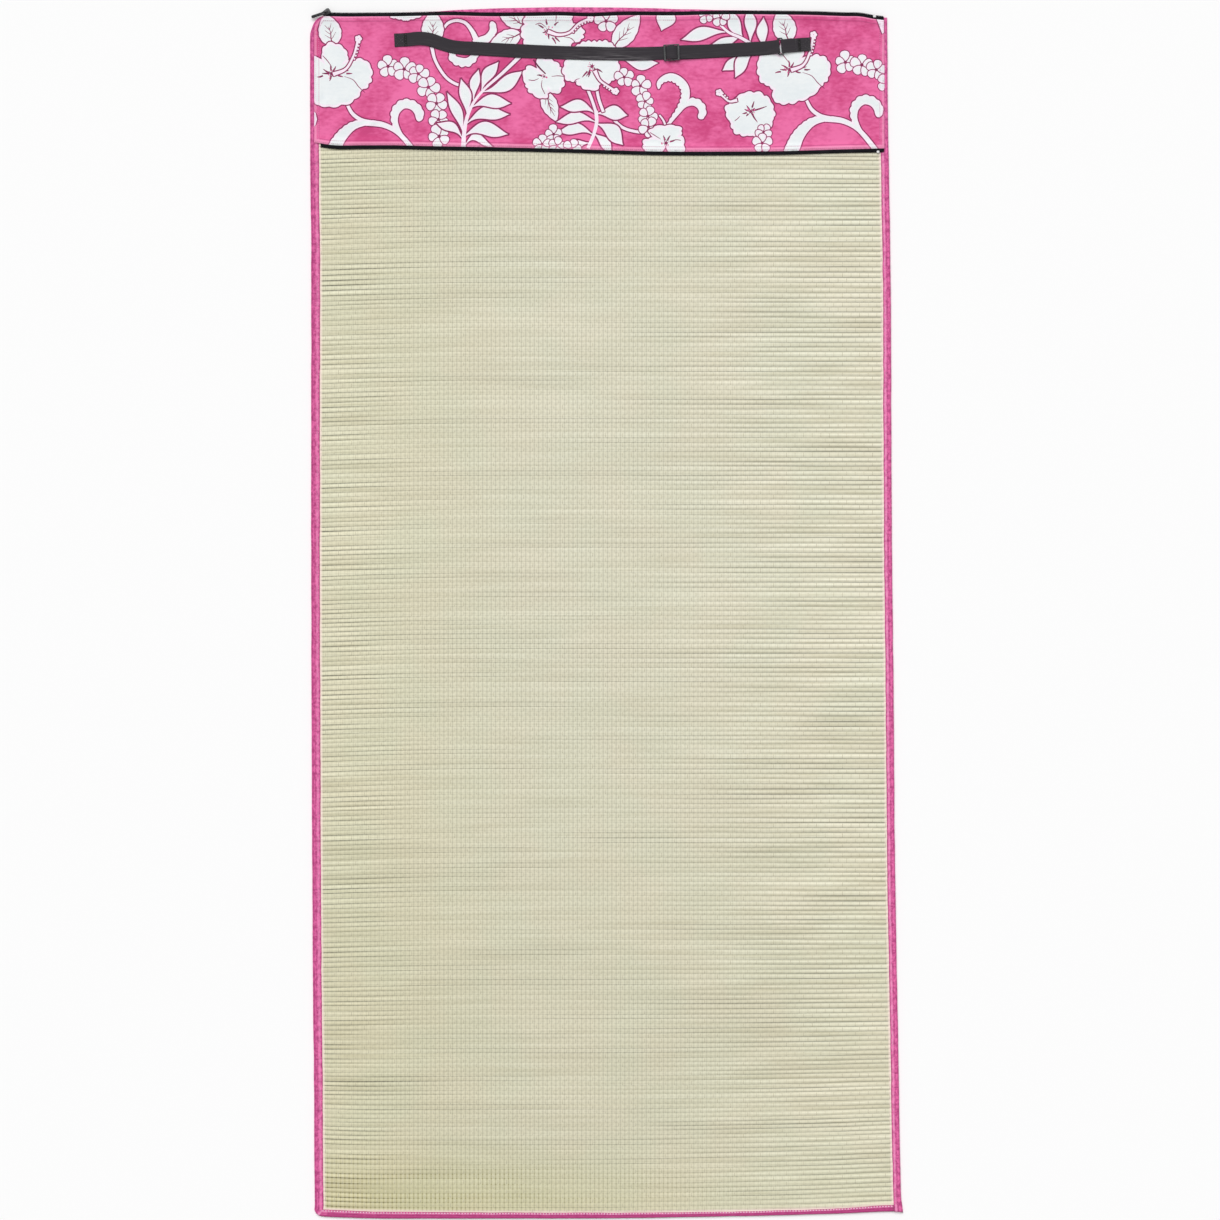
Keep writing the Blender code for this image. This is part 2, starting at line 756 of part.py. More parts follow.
def build():
    for obj in list(bpy.data.objects):
        bpy.data.objects.remove(obj)
    parts = bpy.data.collections.new("beach mat")
    cutters = bpy.data.collections.new("joined shapes")
    for collection in (parts, cutters):
        bpy.context.scene.collection.children.link(collection)
    straw = material("woven straw", (0.67, 0.63, 0.45), 0.75)
    pink_tape = material("pink binding tape", (0.67, 0.11, 0.34), 0.7)
    print_cotton = material("printed cotton", (0.79, 0.12, 0.32), 0.75)
    black_zip = material("black zip", (0.012, 0.012, 0.015), 0.5)
    webbing = material("black webbing", (0.039, 0.035, 0.04), 0.6)
    black_plastic = material("black plastic", (0.02, 0.02, 0.022), 0.4)
    pale_plastic = material("pale plastic", (0.75, 0.75, 0.75), 0.4)
    finish(straw_mat(cutters), parts, straw)
    finish(binding_left_foot(), parts, pink_tape)
    finish(binding_right(), parts, pink_tape)
    finish(binding_head(), parts, pink_tape)
    finish(head_panel(), parts, print_cotton)
    for piece in zip_half("zip_head", HEAD_ZIP, HEAD_ZIP_SHOWS, 1, -416, 413.6):
        finish(piece, parts, black_zip)
    for piece in zip_half("zip_lower", LOWER_ZIP, LOWER_ZIP_SHOWS, -1, -424, 414):
        finish(piece, parts, black_zip)
    finish(zip_slider(cutters), parts, black_zip)
    finish(zip_pull(), parts, black_zip)
    finish(zip_stop("zip_head_stop", 399.7, 886.2, 4.2), parts, pale_plastic)
    finish(zip_stop("zip_lower_stop", 404.9, 684.8, 3.8), parts, pale_plastic)
    line = StrapLine()
    finish(strap(line), parts, webbing)
    finish(strap_tab(line), parts, webbing)
    finish(strap_ring(line), parts, black_plastic)
    finish(strap_adjuster(line), parts, black_plastic)


build()
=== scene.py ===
"""A roll-up straw beach mat with a zip-up printed cover, lying open and flat on a pale floor.

Sizes are in millimetres, and become metres where each mesh is made. Materials, the floor and the camera
are in metres. +Y is the head end, and +Z is up.
"""

import math
from collections import namedtuple

import bmesh
import bpy
import numpy as np
from mathutils import Matrix, Vector
from mathutils.geometry import delaunay_2d_cdt


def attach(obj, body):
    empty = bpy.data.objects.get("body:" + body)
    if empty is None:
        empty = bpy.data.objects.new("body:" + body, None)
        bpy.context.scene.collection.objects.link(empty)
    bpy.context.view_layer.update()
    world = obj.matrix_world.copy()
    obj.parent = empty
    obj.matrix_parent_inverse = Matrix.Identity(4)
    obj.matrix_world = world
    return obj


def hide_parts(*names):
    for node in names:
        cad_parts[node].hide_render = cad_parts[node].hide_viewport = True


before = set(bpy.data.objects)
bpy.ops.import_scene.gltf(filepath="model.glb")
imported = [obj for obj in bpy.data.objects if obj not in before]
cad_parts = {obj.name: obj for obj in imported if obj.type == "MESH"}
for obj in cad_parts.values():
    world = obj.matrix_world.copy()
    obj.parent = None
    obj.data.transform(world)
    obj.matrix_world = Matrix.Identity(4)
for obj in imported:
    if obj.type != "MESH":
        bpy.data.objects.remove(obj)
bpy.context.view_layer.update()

# ---- The woven straw panel
# Dry straws laid side by side in bundles across the mat, tied by thin cotton warp threads that run along it.
# The panel is cut a little tapered, wider at the foot, and its edge is pressed flat under the tape.
MM = 0.001
Side = namedtuple("Side", "y left right")
SIDES = [Side(*row) for row in (
    (-892, -431.8, 440.3), (-845, -432.4, 438.8), (-665, -433.4, 435.6), (-546, -434.8, 433.4),
    (-367, -435.8, 430.3), (-130, -436.8, 428.4), (50, -437.2, 426.2), (290, -437.3, 424.8),
    (525, -437.2, 423.6), (644, -438.4, 421.5), (763, -439.1, 419.5), (845, -438.8, 418.9),
    (888, -438.8, 418.3),
)]
Foot = namedtuple("Foot", "x y tape")
FOOT = [Foot(*row) for row in (
    (-434, -896.0, 10.5), (-418, -897.2, 10.5), (-365, -899.4, 10.4), (-275, -899.9, 9.5), (-97, -899.9, 8.5),
    (0, -899.6, 8.0), (80, -898.6, 7.5), (170, -897.0, 7.2), (260, -895.0, 7.0), (350, -892.4, 7.6),
    (408, -889.9, 9.2), (441, -889.3, 9.4),
)]
Across = namedtuple("Across", "x y")
HEAD = [Across(*row) for row in (
    (-430, 886.8), (-400, 888.2), (-320, 889.6), (-265, 892.6), (-220, 896.0), (-175, 898.0), (-130, 899.2),
    (-40, 900.0), (45, 899.2), (90, 897.8), (135, 896.6), (225, 894.5), (290, 891.8), (360, 888.6),
    (400, 885.0), (420, 884.0),
)]
LEFT_TAPE, RIGHT_TAPE, HEAD_TAPE = 12.9, 11.6, 10.0
EDGE_INSET = 1.6
PRESSED_LOW, PRESSED_HIGH = 1.3, 2.3
RIDGE_PITCH = 7.15
BUNDLE_STEPS = np.array((0.0, 0.2, 0.5, 0.8))
BUNDLE_VALLEY = np.array((1.0, 0.32, 0.0, 0.32))
BUNDLE_CREST = 2
STRAW_CREST, CREST_SWING = 3.15, 0.16
VALLEY_MIDDLE, VALLEY_LEFT, VALLEY_RIGHT = 0.34, 0.85, 1.25
LEFT_FROM, LEFT_GROWS, RIGHT_FROM, RIGHT_GROWS = -210, 210, -20, 420
DEPTH_WANDER, MORE_ON_LEFT, DEPTH_LIMITS = 0.62, 0.28, (0.2, 1.7)
RISES_WITHIN, UNDERSIDE_SHARE = 1.6, 0.6
WARP_PITCH = 6.4
FOOT_BOW_FROM, FOOT_BOW_FADES = -900, 500
HEAD_BOW_FROM, HEAD_BOW_GROWS = 600, 300
LEFT_DROOP, DROOP_FROM, DROOP_GROWS = 6.0, -150, 290
Corner = namedtuple("Corner", "wide start long")
HEAD_CORNER, FOOT_CORNER = Corner(22, 862, 25), Corner(15, -884, 13.5)
CORNER_SPREAD = 60
PITCH_SWING = 0.1
FIELD_COLUMNS, FIELD_INSET = 30, 24
STRAW_SEED = 7


def curve_at(at, knots, values):
    """Where a smooth curve through the values at the knots lies, at one or more places along it."""
    slopes = np.gradient(values, knots)
    i = np.clip(np.searchsorted(knots, at) - 1, 0, len(knots) - 2)
    span = knots[i + 1] - knots[i]
    t = (at - knots[i]) / span
    rise = values[i + 1] - values[i]
    bend = (slopes[i] * span - rise) * (1 - t) - (slopes[i + 1] * span - rise) * t
    return values[i] + rise * t + bend * t * (1 - t)


def smooth(rows, at, column="y"):
    """That column's value at one or more stations, on a smooth curve through the rows."""
    stations = np.array([row[0] for row in rows], float)
    return curve_at(at, stations, np.array([getattr(row, column) for row in rows], float))


def eased(value):
    """0 below 0, 1 above 1, and smooth between them."""
    t = np.clip(value, 0, 1)
    return t * t * (3 - 2 * t)


def left_edge(y):
    return smooth(SIDES, y, "left")


def right_edge(y):
    return smooth(SIDES, y, "right")


def foot_edge(x):
    return smooth(FOOT, x)


def head_edge(x):
    return smooth(HEAD, x)


def bundle_bow(x, y):
    """How far a bundle lies from straight: like the foot and head edges near them, drooping to the left."""
    near_foot = 1 - eased((y - FOOT_BOW_FROM) / FOOT_BOW_FADES)
    near_head = eased((y - HEAD_BOW_FROM) / HEAD_BOW_GROWS)
    droop = -LEFT_DROOP * np.clip((DROOP_FROM - x) / DROOP_GROWS, 0, None) ** 2
    along_foot = foot_edge(x) - foot_edge(0)
    along_head = head_edge(x) - head_edge(0)
    return near_foot * along_foot + near_head * along_head + (1 - near_foot) * (1 - near_head) * droop


def wander(random, rows, x, knots=14):
    """Smooth random numbers along each row, about -1 to 1."""
    places = np.linspace(x.min() - 1, x.max() + 1, knots)
    values = random.normal(0, 0.5, (rows, knots))
    return np.array([np.interp(x[row], places, values[row]) for row in range(rows)])


def grid_faces(rows, columns, first=0, flip=False, wrap=False):
    """Quads between the neighbouring points of a grid whose points are numbered row by row."""
    r, c = np.meshgrid(np.arange(rows - 1), np.arange(columns if wrap else columns - 1), indexing="ij")
    after = (c + 1) % columns
    a = r * columns + c
    b = r * columns + after
    quads = np.stack([a, b, b + columns, a + columns], -1).reshape(-1, 4) + first
    return quads[:, ::-1] if flip else quads


def linked(name, data):
    """A new object in the scene, of that name and mesh, lamp or such."""
    obj = bpy.data.objects.new(name, data)
    bpy.context.scene.collection.objects.link(obj)
    return obj


def mesh_piece(name, points, faces, uv=None):
    """A smooth-shaded mesh object from points in millimetres, with one uv pair a point."""
    mesh = bpy.data.meshes.new(name)
    mesh.from_pydata((np.asarray(points, float) * MM).tolist(), [], [list(map(int, face)) for face in faces])
    mesh.shade_smooth()
    if uv is not None:
        corner = np.empty(len(mesh.loops), np.int32)
        mesh.loops.foreach_get("vertex_index", corner)
        layer = mesh.uv_layers.new(name="weave")
        layer.data.foreach_set("uv", np.asarray(uv, np.float32)[corner].ravel())
    return linked(name, mesh)


def carry(piece, label, values):
    """Lets the piece's mesh carry one value a point under that name."""
    values = np.asarray(values, np.float32)
    piece.data.attributes.new(label, "FLOAT", "POINT").data.foreach_set("value", values)


def closed_sheet(name, top, bottom, uv):
    """A thin closed sheet between two grids of points, with walls round its edge."""
    rows, columns = top.shape[:2]
    count = rows * columns
    points = np.concatenate([top.reshape(-1, 3), bottom.reshape(-1, 3)])
    index = np.arange(count).reshape(rows, columns)
    rim = np.concatenate([index[0, :-1], index[:-1, -1], index[-1, :0:-1], index[:0:-1, 0]])
    after = np.roll(rim, -1)
    walls = np.stack([rim, rim + count, after + count, after], -1)
    faces = [*grid_faces(rows, columns), *grid_faces(rows, columns, count, flip=True), *walls]
    both = np.concatenate([uv.reshape(-1, 2)] * 2)
    return mesh_piece(name, points, faces, both)


def bundle_lines(random):
    """The bundles' edges along the middle of the mat, from the foot to the head, unevenly spaced."""
    start = foot_edge(0) + EDGE_INSET
    reach = head_edge(0) - EDGE_INSET - start
    count = round(reach / RIDGE_PITCH)
    pitches = 1 + PITCH_SWING * random.standard_normal(count).clip(-1.6, 1.8)
    return start + reach * np.concatenate([[0], np.cumsum(pitches) / pitches.sum()])


def rounded_corner(y):
    """How far the panel's left edge turns in at the rounded head and foot corners, under the folded tape."""
    at_head = np.clip((y - HEAD_CORNER.start) / HEAD_CORNER.long, 0, 1)
    at_foot = np.clip((FOOT_CORNER.start - y) / FOOT_CORNER.long, 0, 1)
    head_turn = HEAD_CORNER.wide * (1 - np.sqrt(1 - at_head**2))
    return head_turn + FOOT_CORNER.wide * (1 - np.sqrt(1 - at_foot**2))


straw_random = np.random.default_rng(STRAW_SEED)
lines = bundle_lines(straw_random)
bundles = len(lines) - 1
row_v = (np.arange(bundles)[:, None] + BUNDLE_STEPS).ravel()
row_v = np.append(row_v, bundles)
row_y = np.interp(row_v, np.arange(bundles + 1), lines)
row_valley = np.append(np.tile(BUNDLE_VALLEY, bundles), 1.0)
beside_left, beside_right = (
    np.array((EDGE_INSET, tape - 0.3, tape + 0.9, tape + 4.5)) for tape in (LEFT_TAPE, RIGHT_TAPE)
)
across = np.linspace(0, 1, FIELD_COLUMNS)
row_left, row_right = left_edge(row_y)[:, None], right_edge(row_y)[:, None]
field_x = row_left + FIELD_INSET + (row_right - row_left - 2 * FIELD_INSET) * across
straw_x = np.concatenate([row_left + beside_left, field_x, row_right - beside_right[::-1]], 1)
corner = rounded_corner(row_y + bundle_bow(straw_x[:, 0], row_y))[:, None]
straw_x += corner * np.clip(1 - (straw_x - row_left) / CORNER_SPREAD, 0, 1)
straw_y = row_y[:, None] + bundle_bow(straw_x, row_y[:, None])
to_foot = straw_y - foot_edge(straw_x) - smooth(FOOT, straw_x, "tape")
to_head = head_edge(straw_x) - straw_y - HEAD_TAPE
from_tape = np.minimum(straw_x - row_left - LEFT_TAPE, row_right - straw_x - RIGHT_TAPE)
clear_of_tape = eased((np.minimum(np.minimum(to_foot, to_head), from_tape) + 0.5) / RISES_WITHIN + 0.1)
of_bundle = np.minimum(row_v.astype(int), bundles - 1)
bundle_x = straw_x[:: len(BUNDLE_STEPS)][:bundles]
depth_wander = wander(straw_random, bundles, bundle_x)[of_bundle]
crest_wander = wander(straw_random, bundles, bundle_x)[of_bundle]
on_left = eased((LEFT_FROM - straw_x) / LEFT_GROWS)
on_right = eased((straw_x - RIGHT_FROM) / RIGHT_GROWS)
depth = VALLEY_MIDDLE + (VALLEY_RIGHT - VALLEY_MIDDLE) * on_right + (VALLEY_LEFT - VALLEY_MIDDLE) * on_left
depth = depth * (1 + (DEPTH_WANDER + MORE_ON_LEFT * on_left) * depth_wander).clip(*DEPTH_LIMITS)
valley = row_valley[:, None] * depth
full_top = STRAW_CREST + CREST_SWING * crest_wander.clip(-1, 1) - valley
straw_top = PRESSED_HIGH + (full_top - PRESSED_HIGH) * clear_of_tape
straw_low = PRESSED_LOW * (1 - clear_of_tape) + UNDERSIDE_SHARE * valley * clear_of_tape
weave_uv = np.stack([straw_x / WARP_PITCH, np.broadcast_to(row_v[:, None], straw_x.shape)], -1)
woven_straw = closed_sheet(
    "woven_straw",
    np.stack([straw_x, straw_y, straw_top], -1),
    np.stack([straw_x, straw_y, straw_low], -1),
    weave_uv,
)
carry(woven_straw, "from_tape", np.tile(np.minimum(from_tape, to_foot).ravel(), 2))


def feed(socket, value):
    """Links a shade or socket of the same tree to this socket, or sets it to a plain value."""
    if isinstance(value, Shade):
        value = value.socket
    if isinstance(value, bpy.types.NodeSocket):
        socket.id_data.links.new(value, socket)
    else:
        socket.default_value = (*value, 1) if socket.type == "RGBA" else value


def add_node(tree, kind, settings, *values, **named):
    """A new node's outputs, with its settings made, and its inputs fed in order or by name."""
    node = tree.nodes.new(kind)
    for setting, value in settings.items():
        setattr(node, setting, value)
    for socket, value in zip(node.inputs, values):
        feed(socket, value)
    for label, value in named.items():
        feed(node.inputs[label.replace("_", " ")], value)
    return node.outputs


class Shade:
    """A value in a material's node tree; arithmetic on it adds Math nodes to that tree."""

    def __init__(self, socket):
        self.socket = socket

    def node(self, kind, settings, *values, **named):
        """The first output of a new node in the same tree."""
        return Shade(add_node(self.socket.id_data, "ShaderNode" + kind, settings, *values, **named)[0])

    def calc(self, operation, *others, clamp=False):
        return self.node("Math", {"operation": operation, "use_clamp": clamp}, self, *others)

    def __add__(self, other):
        return self.calc("ADD", other)

    def __sub__(self, other):
        return self.calc("SUBTRACT", other)

    def __rsub__(self, number):
        return self.node("Math", {"operation": "SUBTRACT"}, number, self)

    def __mul__(self, other):
        return self.calc("MULTIPLY", other)

    def stretched(self, low, high, to_low=0.0, to_high=1.0):
        """This value between low and high, stretched smoothly to between to_low and to_high."""
        return self.node("MapRange", {"interpolation_type": "SMOOTHSTEP"}, self, low, high, to_low, to_high)

    def noise(self, scale=1.0, detail=2.0, rough=0.5):
        return self.node("TexNoise", {}, self, Scale=scale, Detail=detail, Roughness=rough)

    def parts(self):
        """This vector's x, y and z."""
        return [Shade(part) for part in add_node(self.socket.id_data, "ShaderNodeSeparateXYZ", {}, self)]


def point_at(x, y, z=0.0):
    return x.node("CombineXYZ", {}, x, y, z)


def ribs(along, pitch):
    """Even waves of that pitch."""
    return (along * (2 * math.pi / pitch)).calc("SINE")


def mixed(factor, one, other, mode="MIX"):
    """From one colour to the other by the factor."""
    tree = next(value.socket.id_data for value in (factor, one) if isinstance(value, Shade))
    node = tree.nodes.new("ShaderNodeMix")
    node.data_type = "RGBA"
    node.blend_type = mode
    for place, value in ((0, factor), (6, one), (7, other)):
        feed(node.inputs[place], value)
    return Shade(node.outputs[2])


def times(colour, other):
    return mixed(1.0, colour, other, "MULTIPLY")


def new_material(name, roughness, **inputs):
    """A material and its Principled shader, with those plain values on the shader's own sockets."""
    made = bpy.data.materials.new(name)
    made.use_nodes = True
    shader = made.node_tree.nodes["Principled BSDF"]
    for socket, value in {"Roughness": roughness, **inputs}.items():
        feed(shader.inputs[socket.replace("_", " ")], value)
    return made, shader


def coordinates(shader, kind="Object"):
    return Shade(add_node(shader.id_data, "ShaderNodeTexCoord", {})[kind])


def carried(shader, label):
    """The value that the mesh carries under that name."""
    return Shade(add_node(shader.id_data, "ShaderNodeAttribute", {"attribute_name": label})["Fac"])


def bump(shader, height, distance, strength):
    out = height.node("Bump", {}, Strength=strength, Distance=distance, Height=height)
    feed(shader.inputs["Normal"], out)


STRAWS_A_BUNDLE = 3.0
STRAW_DARK, STRAW_LIGHT = (0.61, 0.58, 0.43), (0.84, 0.815, 0.66)
STRAW_GREEN, STRAW_ROSY = (0.985, 1.0, 0.985), (1.01, 0.995, 0.98)
LEFT_TONE, FOOT_TONE = (0.975, 0.97, 0.91), (0.94, 0.935, 0.905)
OLIVE_TONE, DOT_TONE = (0.95, 0.935, 0.82), (0.62, 0.58, 0.36)
BESIDE_TAPE = (0.93, 0.77, 0.69)


def straw_material():
    """Dry straw, each its own tone: painted shade in bundle seams by the sides, straw gaps and warp dents;
    painted crest highlights.
    """
    made, shader = new_material("dry straw", 0.6, Specular_IOR_Level=0.3, Sheen_Weight=0.08)
    where = coordinates(shader)
    x, y, _ = where.parts()
    u, v, _ = coordinates(shader, "UV").parts()
    right = x.stretched(-0.02, 0.40)
    left = x.stretched(-0.22, -0.425)
    middle = 1.0 - (left * 0.6).calc("MAXIMUM", right)
    bundle = v.calc("FLOOR")
    straw = (v * STRAWS_A_BUNDLE).calc("FLOOR")
    straw_shade = point_at(x * 7.0, straw * 3.71).noise(1.0, 3.0, 0.6) * 0.55
    shade = straw_shade + point_at(x * 3.5, bundle * 5.3, 9.0).noise() * 0.45
    shade = (shade - 0.5) * middle.stretched(0.0, 1.0, 1.0, 0.42) + 0.5
    colour = mixed(shade.stretched(0.3, 0.7), STRAW_DARK, STRAW_LIGHT)
    colour = times(colour, mixed(where.noise(9.0).stretched(0.35, 0.65), STRAW_GREEN, STRAW_ROSY))
    colour = mixed(x.stretched(-0.05, -0.40), colour, times(colour, LEFT_TONE))
    colour = mixed(y.stretched(0.1, -0.72), colour, times(colour, FOOT_TONE))

    # Painted shade in the hollows: the bundle seams, strongest by the sides and partly the seams' own darker
    # straw, the brick-wise float edges in the middle, the gaps between straws and the warp threads' dents.
    uneven = point_at(x * 5.0, bundle * 2.7, 4.0).noise().stretched(0.38, 0.66, 0.1, 1.8)
    from_seam = v.calc("FRACT").calc("PINGPONG", 0.5)
    seam = from_seam.stretched(0.02, 0.2, 1.0, 0.0)
    long_seam = point_at(x * 1.7, bundle * 7.7, 2.0).noise(1.0, 1.0).stretched(0.56, 0.63, 0.03, 0.3)
    by_side = (uneven * 1.6 + 0.95) * (right * 0.135) + left * uneven * 0.34
    seam_painted_shade = seam * (by_side + long_seam)
    odd = (u.calc("FLOOR") * 0.5).calc("FRACT")
    from_float = (v + odd).calc("FRACT").calc("PINGPONG", 0.5)
    float_edge_painted_shade = from_float.stretched(0.02, 0.22, 1.0, 0.0) * (middle * 0.065)
    from_gap = (v * STRAWS_A_BUNDLE).calc("FRACT").calc("PINGPONG", 0.5)
    gap_painted_shade = from_gap.stretched(0.0, 0.2, 0.05, 0.0)
    warp = (u + 0.5).calc("PINGPONG", 0.5).stretched(0.02, 0.24, 1.0, 0.0)
    dent_painted_shade = warp * (middle * 0.17 + 0.03)
    painted_shade = (seam_painted_shade + gap_painted_shade) + (dent_painted_shade + float_edge_painted_shade)
    # Painted highlight on the bundles' crests, by the sides.
    crest_painted_highlight = from_seam.stretched(0.2, 0.48) * ((right + left * uneven) * 0.10)
    colour = times(colour, (1.0 - painted_shade) + crest_painted_highlight)
    foot = y.stretched(-0.76, -0.885)
    near_foot = (foot * uneven) * x.stretched(0.25, -0.30, 0.1, 0.8)
    dots = (warp * seam + warp * 0.35).calc("MULTIPLY", near_foot, clamp=True)
    colour = mixed(dots, colour, times(colour, DOT_TONE))
    colour = mixed(foot * x.stretched(0.30, -0.20, 0.15, 1.0), colour, times(colour, OLIVE_TONE))
    pale = carried(shader, "from_tape").stretched(0.8, 4.6, 0.85, 0.0)
    feed(shader.inputs["Base Color"], mixed(pale, colour, BESIDE_TAPE))

    rounded = (from_gap * 2.0).calc("SQRT")
    dents = warp * (middle * -0.9)
    fibres = point_at(x * 60.0, v * 22.0).noise()
    bump(shader, (rounded + dents) + fibres * 0.4, 0.0003, 0.7)
    return made


woven_straw.data.materials.append(straw_material())
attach(woven_straw, "root")
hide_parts("straw_mat")

# ---- The warp threads
# Fine undyed cotton, passing over one bundle and under the next, each half a step off its neighbours.
# They sink into the straw, and show as rows of tiny floats.
THREAD_WIDE, THREAD_HIGH = 0.5, 0.28
THREAD_SINKS = 0.02
THREADS_END_AT = 700
FLOAT_SHARE = 0.92
THREAD_COLOUR, THREAD_PALE = (0.60, 0.56, 0.42), (0.76, 0.72, 0.56)


def new_tree(name, **inputs):
    """A Geometry Nodes tree with a geometry in and out, and those named inputs and the material's."""
    tree = bpy.data.node_groups.new(name, "GeometryNodeTree")
    for label, kind in {"Geometry": "Geometry", **inputs, "Material": "Material"}.items():
        tree.interface.new_socket(label, in_out="INPUT", socket_type="NodeSocket" + kind)
    tree.interface.new_socket("Geometry", in_out="OUTPUT", socket_type="NodeSocketGeometry")
    return tree, tree.nodes.new("NodeGroupInput").outputs


def put_out(tree, geometry, material):
    """Ends a tree: instances realized, shaded smooth, given their material and put out."""
    realized = add_node(tree, "GeometryNodeRealizeInstances", {}, geometry)
    shaded = add_node(tree, "GeometryNodeSetShadeSmooth", {}, realized[0])
    painted = add_node(tree, "GeometryNodeSetMaterial", {}, shaded[0], Material=material)
    add_node(tree, "NodeGroupOutput", {}, painted[0])
    return tree


def plain_mesh(obj):
    """The mesh that obj's modifiers or its curve's settings make, with obj gone."""
    bpy.context.view_layer.update()
    graph = bpy.context.evaluated_depsgraph_get()
    mesh = bpy.data.meshes.new_from_object(obj.evaluated_get(graph), depsgraph=graph)
    bpy.data.objects.remove(obj)
    return mesh


def grown(obj, tree, **values):
    """What the tree makes of obj, as a plain mesh object of the same name, with obj gone."""
    modifier = obj.modifiers.new(tree.name, "NODES")
    modifier.node_group = tree
    for item in tree.interface.items_tree:
        if item.in_out == "INPUT" and item.name in values:
            modifier[item.identifier] = values[item.name]
    name = obj.name
    mesh = plain_mesh(obj)
    mesh.name = name
    return linked(name, mesh)


def points_piece(name, points, edges=()):
    """A mesh of bare points, or of lines along them."""
    mesh = bpy.data.meshes.new(name)
    mesh.from_pydata((np.asarray(points, float) * MM).tolist(), [tuple(map(int, edge)) for edge in edges], [])
    return linked(name, mesh)


def thread_tree():
    """A small pointed float at every point, as long as the span that the point carries."""
    tree, given = new_tree("thread floats", Width="Float", Height="Float")
    bead = add_node(tree, "GeometryNodeMeshUVSphere", {}, 3, 3, 1.0)
    lying = add_node(tree, "GeometryNodeTransform", {}, bead[0], Rotation=(math.pi / 2, 0, 0))
    span = add_node(tree, "GeometryNodeInputNamedAttribute", {"data_type": "FLOAT"}, "span")
    size = add_node(tree, "ShaderNodeCombineXYZ", {}, given["Width"], span[0], given["Height"])
    points = given["Geometry"]
    placed = add_node(tree, "GeometryNodeInstanceOnPoints", {}, points, Instance=lying[0], Scale=size[0])
    return put_out(tree, placed[0], given["Material"])


def mottled(name, roughness, one, other, patches, ends=None, grain=None, **inputs):
    """Plain stuff in soft patches of two shades, with a fine grain as its scale, detail and strength."""
    made, shader = new_material(name, roughness, **inputs)
    where = coordinates(shader)
    share = where.noise(*patches)
    feed(shader.inputs["Base Color"], mixed(share.stretched(*ends) if ends else share, one, other))
    if grain:
        scale, detail, strength = grain
        bump(shader, where.noise(scale, detail), 0.0001, strength)
    return made


def thread_points():
    """Where the floats cross the bundles' crests: x, y, z and half their length."""
    points, spans = [], []
    for k, row in enumerate(np.arange(bundles) * len(BUNDLE_STEPS) + BUNDLE_CREST):
        y = row_y[row]
        if y > THREADS_END_AT:
            break
        first = math.ceil((row_left[row, 0] + LEFT_TAPE + 2) / WARP_PITCH)
        last = math.floor((row_right[row, 0] - RIGHT_TAPE - 2) / WARP_PITCH)
        warps = np.arange(first, last + 1)
        warps = warps[(warps + k) % 2 == 0]
        x = warps * WARP_PITCH
        z = np.interp(x, straw_x[row], straw_top[row])
        at = y + bundle_bow(x, np.full(len(x), y))
        keep = at - foot_edge(x) - smooth(FOOT, x, "tape") > 4
        half = (lines[k + 1] - lines[k]) * FLOAT_SHARE / 2
        points += list(zip(x[keep], at[keep], z[keep] - THREAD_SINKS))
        spans += [half * MM] * int(keep.sum())
    return points, spans


thread_cotton = mottled(
    "undyed cotton thread", 0.8, THREAD_COLOUR, THREAD_PALE, (55.0, 2.0), (0.35, 0.65), (2500.0, 1.0, 0.5),
    Sheen_Weight=0.1,
)
float_points, float_spans = thread_points()
floats = points_piece("warp_threads", float_points)
carry(floats, "span", float_spans)
warp_threads = grown(
    floats, thread_tree(), Width=THREAD_WIDE * MM, Height=THREAD_HIGH * MM, Material=thread_cotton
)
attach(warp_threads, "root")

# ---- The pink binding tape
# Woven cotton tape folded over the straw's edge and sewn through with two rows of stitches along the sides.
# One length runs round the foot's left corner, folded slantwise there; the right one ends in a raw cut.
TAPE_TOP = 3.55
TAPE_UNDER = 2.62
TAPE_LOWER_LEG = 0.98
BUTT_GAP = 0.2
STATION_SPACING = 3.0
TAPE_SEED = 21
STITCH_LOW_WIDE = 0.045
Row = namedtuple("Row", "at low")
SIDE_ROWS = (Row(0.42, 0.30), Row(0.87, 0.34))
FOOT_SHARE = 0.82
FOLD_SECTION = ((0.5, 0.0, -0.05), (1.8, -0.1, 0.0), (2.8, 0.12, 0.02), (3.3, 0.55, 0.05))
TOP_SHARES = (0.10, 0.18, 0.28, 0.36, 0.42, 0.48, 0.58, 0.68, 0.78, 0.84, 0.90, 0.96)
RAW_EDGE = 0.35
LEG_INSET = 1.5
HEAD_TURN, FOOT_TURN = (-425.5, 876), (-418.6, -885.6)


def lengths_along(points):
    """Distances along a line of points, from 0 at its first."""
    return np.concatenate([[0], np.cumsum(np.linalg.norm(np.diff(points, axis=0), axis=1))])


def curve_through(points, spacing):
    """Points at that spacing along a smooth curve through the given ones."""
    points = np.asarray(points, float)
    knots = lengths_along(points)
    at = np.linspace(0, knots[-1], max(3, math.ceil(knots[-1] / spacing) + 1))
    return np.column_stack([curve_at(at, knots, values) for values in points.T])


def uneven(random, along, spacing, size):
    """Soft random swings along a length, each about that spacing long."""
    count = max(4, math.ceil(along[-1] / spacing) + 2)
    knots = np.linspace(along[0] - spacing, along[-1] + spacing, count)
    values = random.normal(0, 1, count).clip(-2, 2) * size
    i = np.clip(np.searchsorted(knots, along) - 1, 0, count - 2)
    t = eased((along - knots[i]) / (knots[i + 1] - knots[i]))
    return values[i] + (values[i + 1] - values[i]) * t


